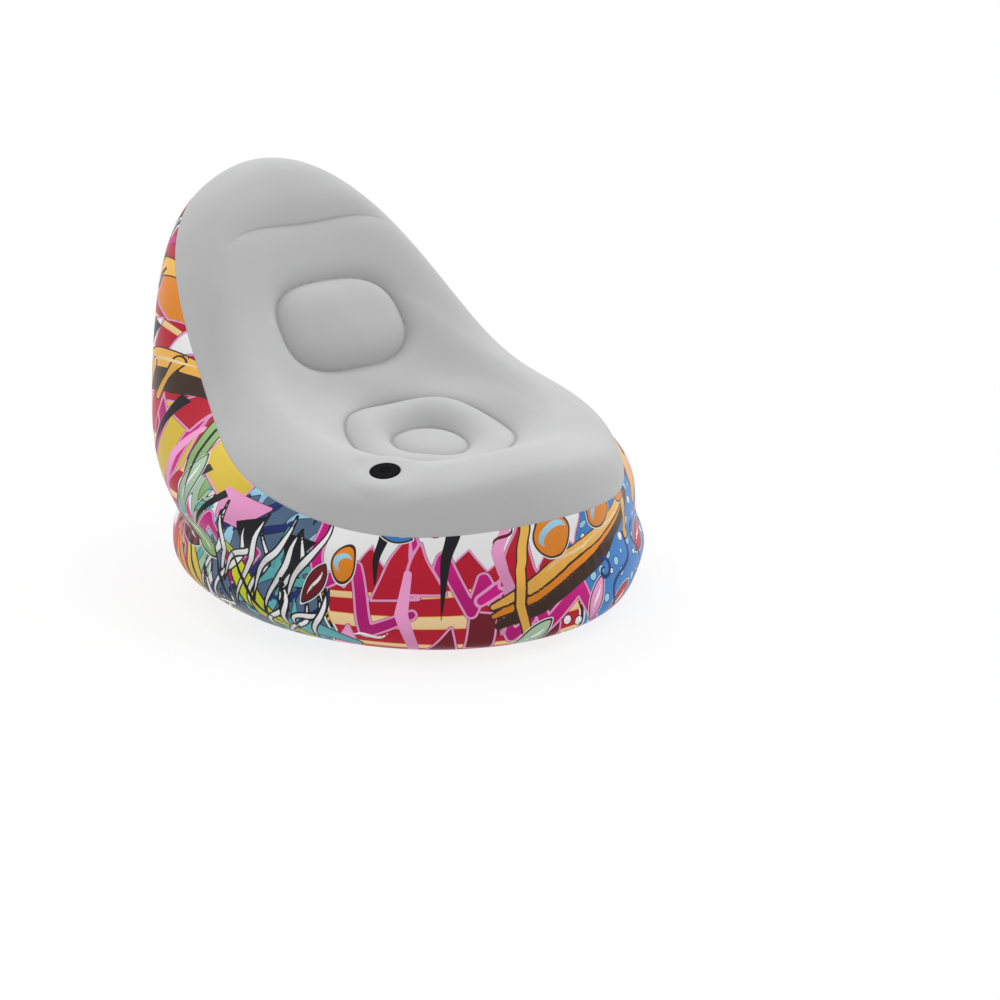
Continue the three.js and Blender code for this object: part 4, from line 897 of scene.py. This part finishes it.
# %% Cut the squares along the print's edges
def turn_squares(mesh, layers, reach=0.008):
    """A square is parted from its first corner to its third. Where the distances differ less between
    the other two corners, its first corner moves on by one. Only distances within reach count."""
    across = 0
    for distance in layers:
        near = np.clip(distance, -reach, reach)
        onward = np.roll(near, -1, axis=1)
        across = across + np.abs(near[:-1] - onward[1:]) - np.abs(near[1:] - onward[:-1])
    turned = (across > 0).ravel()
    corners = np.empty(len(mesh.loops), np.int32)
    mesh.loops.foreach_get("vertex_index", corners)
    squares = corners.reshape(-1, 4)
    squares[turned] = np.roll(squares[turned], -1, axis=1)
    mesh.loops.foreach_set("vertex_index", squares.ravel())
    mesh.update(calc_edges=True)
    return turned.mean()


turned_share = turn_squares(printed.data, [distance for _, (distance, _), *_ in LAYERS])
print("squares turned:", round(100 * turned_share), "%")

# %% [markdown]
# ### The ink layer as a node group
# Every layer does the same thing in the material: outside the halo the inks below show, then comes the
# halo, then the line, then the fill. One node group does this, and each layer places it with its own
# widths and colours.

# %% Helpers for nodes
def new_group(name, inputs, outputs):
    """An empty shader node group with named sockets, given as (name, kind, value)."""
    tree = bpy.data.node_groups.new(name, "ShaderNodeTree")
    for label, kind, value in inputs:
        socket = tree.interface.new_socket(label, in_out="INPUT", socket_type="NodeSocket" + kind)
        socket.default_value = value
    for label, kind in outputs:
        tree.interface.new_socket(label, in_out="OUTPUT", socket_type="NodeSocket" + kind)
    return tree, tree.nodes.new("NodeGroupInput"), tree.nodes.new("NodeGroupOutput")


def join(tree, *pairs):
    """Links each pair of output and input."""
    for start, end in pairs:
        tree.links.new(start, end)


def chain(tree, value, *steps):
    """Runs a value through math nodes. A step is an operation and the numbers or sockets it takes."""
    for operation, *others in steps:
        node = tree.nodes.new("ShaderNodeMath")
        node.operation = operation
        join(tree, (value, node.inputs[0]))
        for place, other in enumerate(others, 1):
            if isinstance(other, bpy.types.NodeSocket):
                join(tree, (other, node.inputs[place]))
            else:
                node.inputs[place].default_value = other
        value = node.outputs[0]
    return value


def ramp(tree, value, start, end, low=0.0, high=1.0):
    """A straight climb from low, where the value is at the start, to high, where it is at the end."""
    node = tree.nodes.new("ShaderNodeMapRange")
    for label, number in (("From Min", start), ("From Max", end), ("To Min", low), ("To Max", high)):
        node.inputs[label].default_value = number
    join(tree, (value, node.inputs["Value"]))
    return node


def mixed(tree, share, below, above):
    """A colour mix: below where the share is 0 and above where it is 1."""
    mix = tree.nodes.new("ShaderNodeMix")
    mix.data_type = "RGBA"
    join(tree, (share, mix.inputs[0]), (below, mix.inputs[6]), (above, mix.inputs[7]))
    return mix.outputs[2]


# %% Node group for one layer of ink
EDGE_SOFTNESS = 0.0005  # metres over which an edge of ink fades


def inside_of(tree, distance, width):
    """1 where the distance is under the width and 0 beyond it, with a soft edge."""
    past = chain(tree, distance, ("SUBTRACT", width))
    return ramp(tree, past, EDGE_SOFTNESS / 2, -EDGE_SOFTNESS / 2).outputs[0]


ink_group, given, result = new_group(
    "ink layer",
    [
        ("Below", "Color", (1, 1, 1, 1)), ("Distance", "Float", 1.0), ("Fill", "Color", (1, 0, 0, 1)),
        ("Line", "Color", (0, 0, 0, 1)), ("Line width", "Float", 0.003),
        ("Halo", "Color", (1, 1, 1, 1)), ("Halo width", "Float", 0.0),
    ],
    [("Colour", "Color")],
)
line_width = given.outputs["Line width"]
both_widths = chain(ink_group, line_width, ("ADD", given.outputs["Halo width"]))
shown = given.outputs["Below"]
for width, colour in ((both_widths, "Halo"), (line_width, "Line"), (0.0, "Fill")):
    inside = inside_of(ink_group, given.outputs["Distance"], width)
    shown = mixed(ink_group, inside, shown, given.outputs[colour])
join(ink_group, (shown, result.inputs["Colour"]))
print("ink layer group:", len(ink_group.nodes), "nodes")

# %% The printed vinyl
def read(tree, name, output="Fac"):
    """An attribute of the piece's own mesh."""
    node = tree.nodes.new("ShaderNodeAttribute")
    node.attribute_name = name
    return node.outputs[output]


def new_material(name, roughness, base=None):
    """A material with one Principled shader."""
    material = bpy.data.materials.new(name)
    material.use_nodes = True
    shader = material.node_tree.nodes["Principled BSDF"]
    shader.inputs["Roughness"].default_value = roughness
    if base:
        shader.inputs["Base Color"].default_value = (*base, 1)
    return material, material.node_tree, shader


vinyl, tree, shader = new_material("printed vinyl", 0.34)
colour = read(tree, "ground", "Color")
for name, _, line, line_width, halo, halo_width in LAYERS:
    layer = tree.nodes.new("ShaderNodeGroup")
    layer.node_tree = ink_group
    layer.inputs["Line"].default_value = (*INKS[line], 1)
    layer.inputs["Line width"].default_value = line_width
    layer.inputs["Halo"].default_value = (*INKS[halo], 1)
    layer.inputs["Halo width"].default_value = halo_width
    join(tree, (colour, layer.inputs["Below"]), (read(tree, name + " edge"), layer.inputs["Distance"]),
         (read(tree, name + " ink", "Color"), layer.inputs["Fill"]))
    colour = layer.outputs["Colour"]
join(tree, (colour, shader.inputs["Base Color"]))
printed.data.materials.append(vinyl)

# %% [markdown]
# ## Grain and folds as node groups
# Flock is a felt of short fibres glued on vinyl: quite matt, with a faint glow at grazing angles and a fine
# grain. Shade is painted into its colour along each weld and in the headrest groove. Vinyl film has a very
# fine orange peel, and moulded plastic a fine texture. One grain group serves them all with its own scale,
# and one fold group deepens a weld and gives its painted shade from the distance that each point of the
# sheet carries.

# %% Node group for the grain
grain_group, given, result = new_group(
    "grain",
    [("Scale", "Float", 900.0), ("Patch scale", "Float", 12.0), ("Depth", "Float", 0.0001)],
    [("Height", "Float"), ("Mottle", "Float")],
)
place_vector = grain_group.nodes.new("ShaderNodeTexCoord").outputs["Object"]
grains = []
for label, detail in (("Scale", 3), ("Patch scale", 2)):
    noise = grain_group.nodes.new("ShaderNodeTexNoise")
    noise.inputs["Detail"].default_value = detail
    join(grain_group, (place_vector, noise.inputs["Vector"]), (given.outputs[label], noise.inputs["Scale"]))
    grains.append(noise.outputs["Fac"])
fine, patch = grains
depth = chain(grain_group, fine, ("MULTIPLY", given.outputs["Depth"]))
mottle = chain(grain_group, fine, ("MULTIPLY_ADD", 0.6, patch))
join(grain_group, (depth, result.inputs["Height"]), (mottle, result.inputs["Mottle"]))
print("grain group:", len(grain_group.nodes), "nodes")

# %% Node group for the folds
fold_group, given, result = new_group(
    "weld fold",
    [("Distance", "Float", 1.0), ("Width", "Float", 0.003), ("Depth", "Float", 0.002)],
    [("Height", "Float"), ("Shade", "Float")],
)
# Shade is painted shade: 1 on the fold's line and fading with the distance; Height deepens the fold with the
# same curve.
shade = chain(fold_group, given.outputs["Distance"], ("ABSOLUTE",),
              ("DIVIDE", given.outputs["Width"]), ("MULTIPLY", -1.0), ("EXPONENT",))
fold_height = chain(fold_group, shade, ("MULTIPLY", given.outputs["Depth"]), ("MULTIPLY", -1.0))
join(fold_group, (shade, result.inputs["Shade"]), (fold_height, result.inputs["Height"]))
print("fold group:", len(fold_group.nodes), "nodes")


# %% Use the groups in a material
def use_group(tree, group, **values):
    """Places a group in a material with its own numbers."""
    node = tree.nodes.new("ShaderNodeGroup")
    node.node_tree = group
    for label, value in values.items():
        node.inputs[label.replace("_", " ")].default_value = value
    return node


def bump_from(tree, shader, *heights):
    """Adds the heights, in metres, and feeds a Bump node to the shader's normal."""
    total = heights[0]
    for height in heights[1:]:
        total = chain(tree, total, ("ADD", height))
    bump = tree.nodes.new("ShaderNodeBump")
    bump.inputs["Distance"].default_value = 1.0
    join(tree, (total, bump.inputs["Height"]), (bump.outputs["Normal"], shader.inputs["Normal"]))


# %% Flock
FLOCK_GREY = (0.56, 0.56, 0.565)
# The darker grey that both the painted shade of the welds and the groove and the pile's random mottle mix
# towards.
FLOCK_SHADE_AND_MOTTLE = (0.30, 0.30, 0.305)
FLOCK_MOTTLE = 0.10  # share of the dark in the darkest patches of the pile
# Painted shade: how far the flock's colour is darkened on a weld's line and in the headrest groove.
WELD_PAINTED_SHADE = 0.75
GROOVE_PAINTED_SHADE = 0.55
flock, tree, shader = new_material("grey flock", 0.95)
shader.inputs["Specular IOR Level"].default_value = 0.15
shader.inputs["Sheen Weight"].default_value = 0.18
shader.inputs["Sheen Roughness"].default_value = 0.45
grain = use_group(tree, grain_group, Scale=700.0, Patch_scale=9.0, Depth=0.00035)
weld = use_group(tree, fold_group, Width=0.0028, Depth=0.0022)
groove = use_group(tree, fold_group, Width=0.0035, Depth=0.0018)
join(tree, (read(tree, "to_weld"), weld.inputs["Distance"]),
     (read(tree, "to_groove"), groove.inputs["Distance"]))
fade = read(tree, "groove_fade")
groove_painted_shade = chain(tree, groove.outputs["Shade"], ("MULTIPLY", fade), ("MULTIPLY", GROOVE_PAINTED_SHADE))
groove_height = chain(tree, groove.outputs["Height"], ("MULTIPLY", fade))
mottle = ramp(tree, grain.outputs["Mottle"], 0.55, 1.05, FLOCK_MOTTLE, 0.0)
# The painted shade of the welds and the groove, together with the pile's mottle, darkens the flock's colour.
dark = chain(tree, weld.outputs["Shade"], ("MULTIPLY", WELD_PAINTED_SHADE), ("MAXIMUM", groove_painted_shade),
             ("MAXIMUM", mottle.outputs[0]))
mix = tree.nodes.new("ShaderNodeMix")
mix.data_type = "RGBA"
mix.inputs[6].default_value = (*FLOCK_GREY, 1)
mix.inputs[7].default_value = (*FLOCK_SHADE_AND_MOTTLE, 1)
join(tree, (dark, mix.inputs[0]), (mix.outputs[2], shader.inputs["Base Color"]))
bump_from(tree, shader, grain.outputs["Height"], weld.outputs["Height"], groove_height)
flocked.data.materials.append(flock)
print("flock grey", FLOCK_GREY)

# %% Orange peel on the printed vinyl
tree, shader = vinyl.node_tree, vinyl.node_tree.nodes["Principled BSDF"]
peel = use_group(tree, grain_group, Scale=160.0, Patch_scale=6.0, Depth=0.00012)
bump_from(tree, shader, peel.outputs["Height"])
shader.inputs["Specular IOR Level"].default_value = 0.18

# %% [markdown]
# ## The other finishes
# The floor sheet is plain grey vinyl and the webs are pale film. The valve is moulded in black
# plastic, with soft rubber for the seal, the gasket and the flap. Their shapes come from the
# construction model as they are, and only their finish is made here.

# %% Floor sheet, webs and valve
def finish_nodes(names, material):
    """Gives a construction piece its material in place of the plain one."""
    for name in names:
        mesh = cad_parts[name].data
        mesh.materials.clear()
        mesh.materials.append(material)


def plain_finish(name, roughness, base, scale, depth, level):
    """A single colour with grain."""
    material, tree, shader = new_material(name, roughness, base)
    grain = use_group(tree, grain_group, Scale=scale, Patch_scale=20.0, Depth=depth)
    bump_from(tree, shader, grain.outputs["Height"])
    shader.inputs["Specular IOR Level"].default_value = level
    return material


FINISHES = [  # name, roughness, colour, scale and depth of the grain, specular level, pieces
    ("floor vinyl", 0.55, (0.27, 0.27, 0.28), 300.0, 0.0002, 0.5, ["floor_sheet"]),
    ("web film", 0.45, (0.7, 0.7, 0.72), 200.0, 0.0001, 0.5,
     ["waist_web", "seat_ring_curtain", "seat_button_curtain", "lumbar_curtain", "headrest_web"]),
    ("black valve plastic", 0.7, (0.006, 0.006, 0.007), 1500.0, 0.00006, 0.03,
     ["valve_housing", "valve_cap"]),
    ("dark valve plastic", 0.40, (0.03, 0.03, 0.033), 1500.0, 0.00006, 0.5, ["valve_insert"]),
    ("valve rubber", 0.7, (0.010, 0.010, 0.010), 900.0, 0.00008, 0.3,
     ["valve_seal", "valve_flap", "valve_cap_gasket"]),
]
for name, roughness, base, scale, depth, level, pieces in FINISHES:
    finish_nodes(pieces, plain_finish(name, roughness, base, scale, depth, level))
    print(name, "on", ", ".join(pieces))

# %% [markdown]
# ## Studio
# The photograph is a plain product shot on white: soft light from above, a little more of it from the
# right and from the back, and hardly any shadow. Two wide soft lights and a pale world give that. Their
# strengths were solved from the greys of thirty places on the flock. The floor is a white sheet that
# fades out round the chair, and the camera stands where the photograph was taken from.

# %% Camera
scene = bpy.context.scene
scene.view_settings.view_transform = "Standard"

CAMERA_DOWN, CAMERA_TURN = 18.687, -37.088  # degrees, fitted to the photograph like place and lens
camera_data = bpy.data.cameras.new("camera")
camera_data.lens = 82.944
camera_data.sensor_width = 36
camera_data.clip_end = 100
camera = bpy.data.objects.new("camera", camera_data)
camera.location = (-2.66428, -3.85057 + SHIFT_Y, 1.75349)
camera.rotation_euler = (math.radians(90 - CAMERA_DOWN), 0, math.radians(CAMERA_TURN))
scene.collection.objects.link(camera)
scene.camera = camera
print("camera of", camera_data.lens, "mm, tipped down by", CAMERA_DOWN, "degrees")


# %% Lights
def add_light(name, lean_x, lean_y, strength, spread):
    """A light from far overhead that leans by two shares. Its spread is in degrees."""
    data = bpy.data.lights.new(name, "SUN")
    data.energy = strength
    data.angle = math.radians(spread)
    light = bpy.data.objects.new(name, data)
    light.location = (lean_x * 4, lean_y * 4, 4)
    tip = math.atan(math.hypot(lean_x, lean_y))
    light.rotation_euler = (tip, 0, math.atan2(lean_y, lean_x) + math.pi / 2)
    scene.collection.objects.link(light)
    print(name, "leans", lean_x, lean_y, "with strength", strength)


add_light("key from the right", 0.9, 0.0, 1.05, 60)
add_light("key from the back", 0.0, 0.9, 1.06, 60)

# %% World and floor
WORLD_LIGHT = 0.66  # strength as a light
WORLD_SEEN = 1.0  # strength as the camera and the gloss see it
world = bpy.data.worlds.new("studio")
scene.world = world
world.use_nodes = True
tree = world.node_tree
background = tree.nodes["Background"]
ray = tree.nodes.new("ShaderNodeLightPath")
seen = chain(tree, ray.outputs["Is Camera Ray"], ("MAXIMUM", ray.outputs["Is Glossy Ray"]))
brightness = ramp(tree, seen, 0.0, 1.0, WORLD_LIGHT, WORLD_SEEN)
join(tree, (brightness.outputs[0], background.inputs["Strength"]))
background.inputs["Color"].default_value = (1, 1, 1, 1)

FLOOR_HALF = 4.0
FLOOR_FADE = (1.0, 2.2)  # metres from the chair's middle where the floor starts to fade and is gone
FLOOR_COVER = 0.17  # how much of the floor shows before it fades
floor_points = np.array([[-1, -1, 0], [1, -1, 0], [1, 1, 0], [-1, 1, 0]]) * FLOOR_HALF
floor = add_mesh("studio_floor", floor_points, np.array([[0, 1, 2, 3]]))
white, tree, shader = new_material("studio white", 1.0, (0.97, 0.97, 0.97))
shader.inputs["Specular IOR Level"].default_value = 0.0
spot = tree.nodes.new("ShaderNodeTexCoord")
length = tree.nodes.new("ShaderNodeVectorMath")
length.operation = "LENGTH"
edge = ramp(tree, length.outputs["Value"], *FLOOR_FADE, FLOOR_COVER, 0.0)
edge.interpolation_type = "SMOOTHSTEP"
join(tree, (spot.outputs["Object"], length.inputs[0]), (edge.outputs[0], shader.inputs["Alpha"]))
floor.data.materials.append(white)
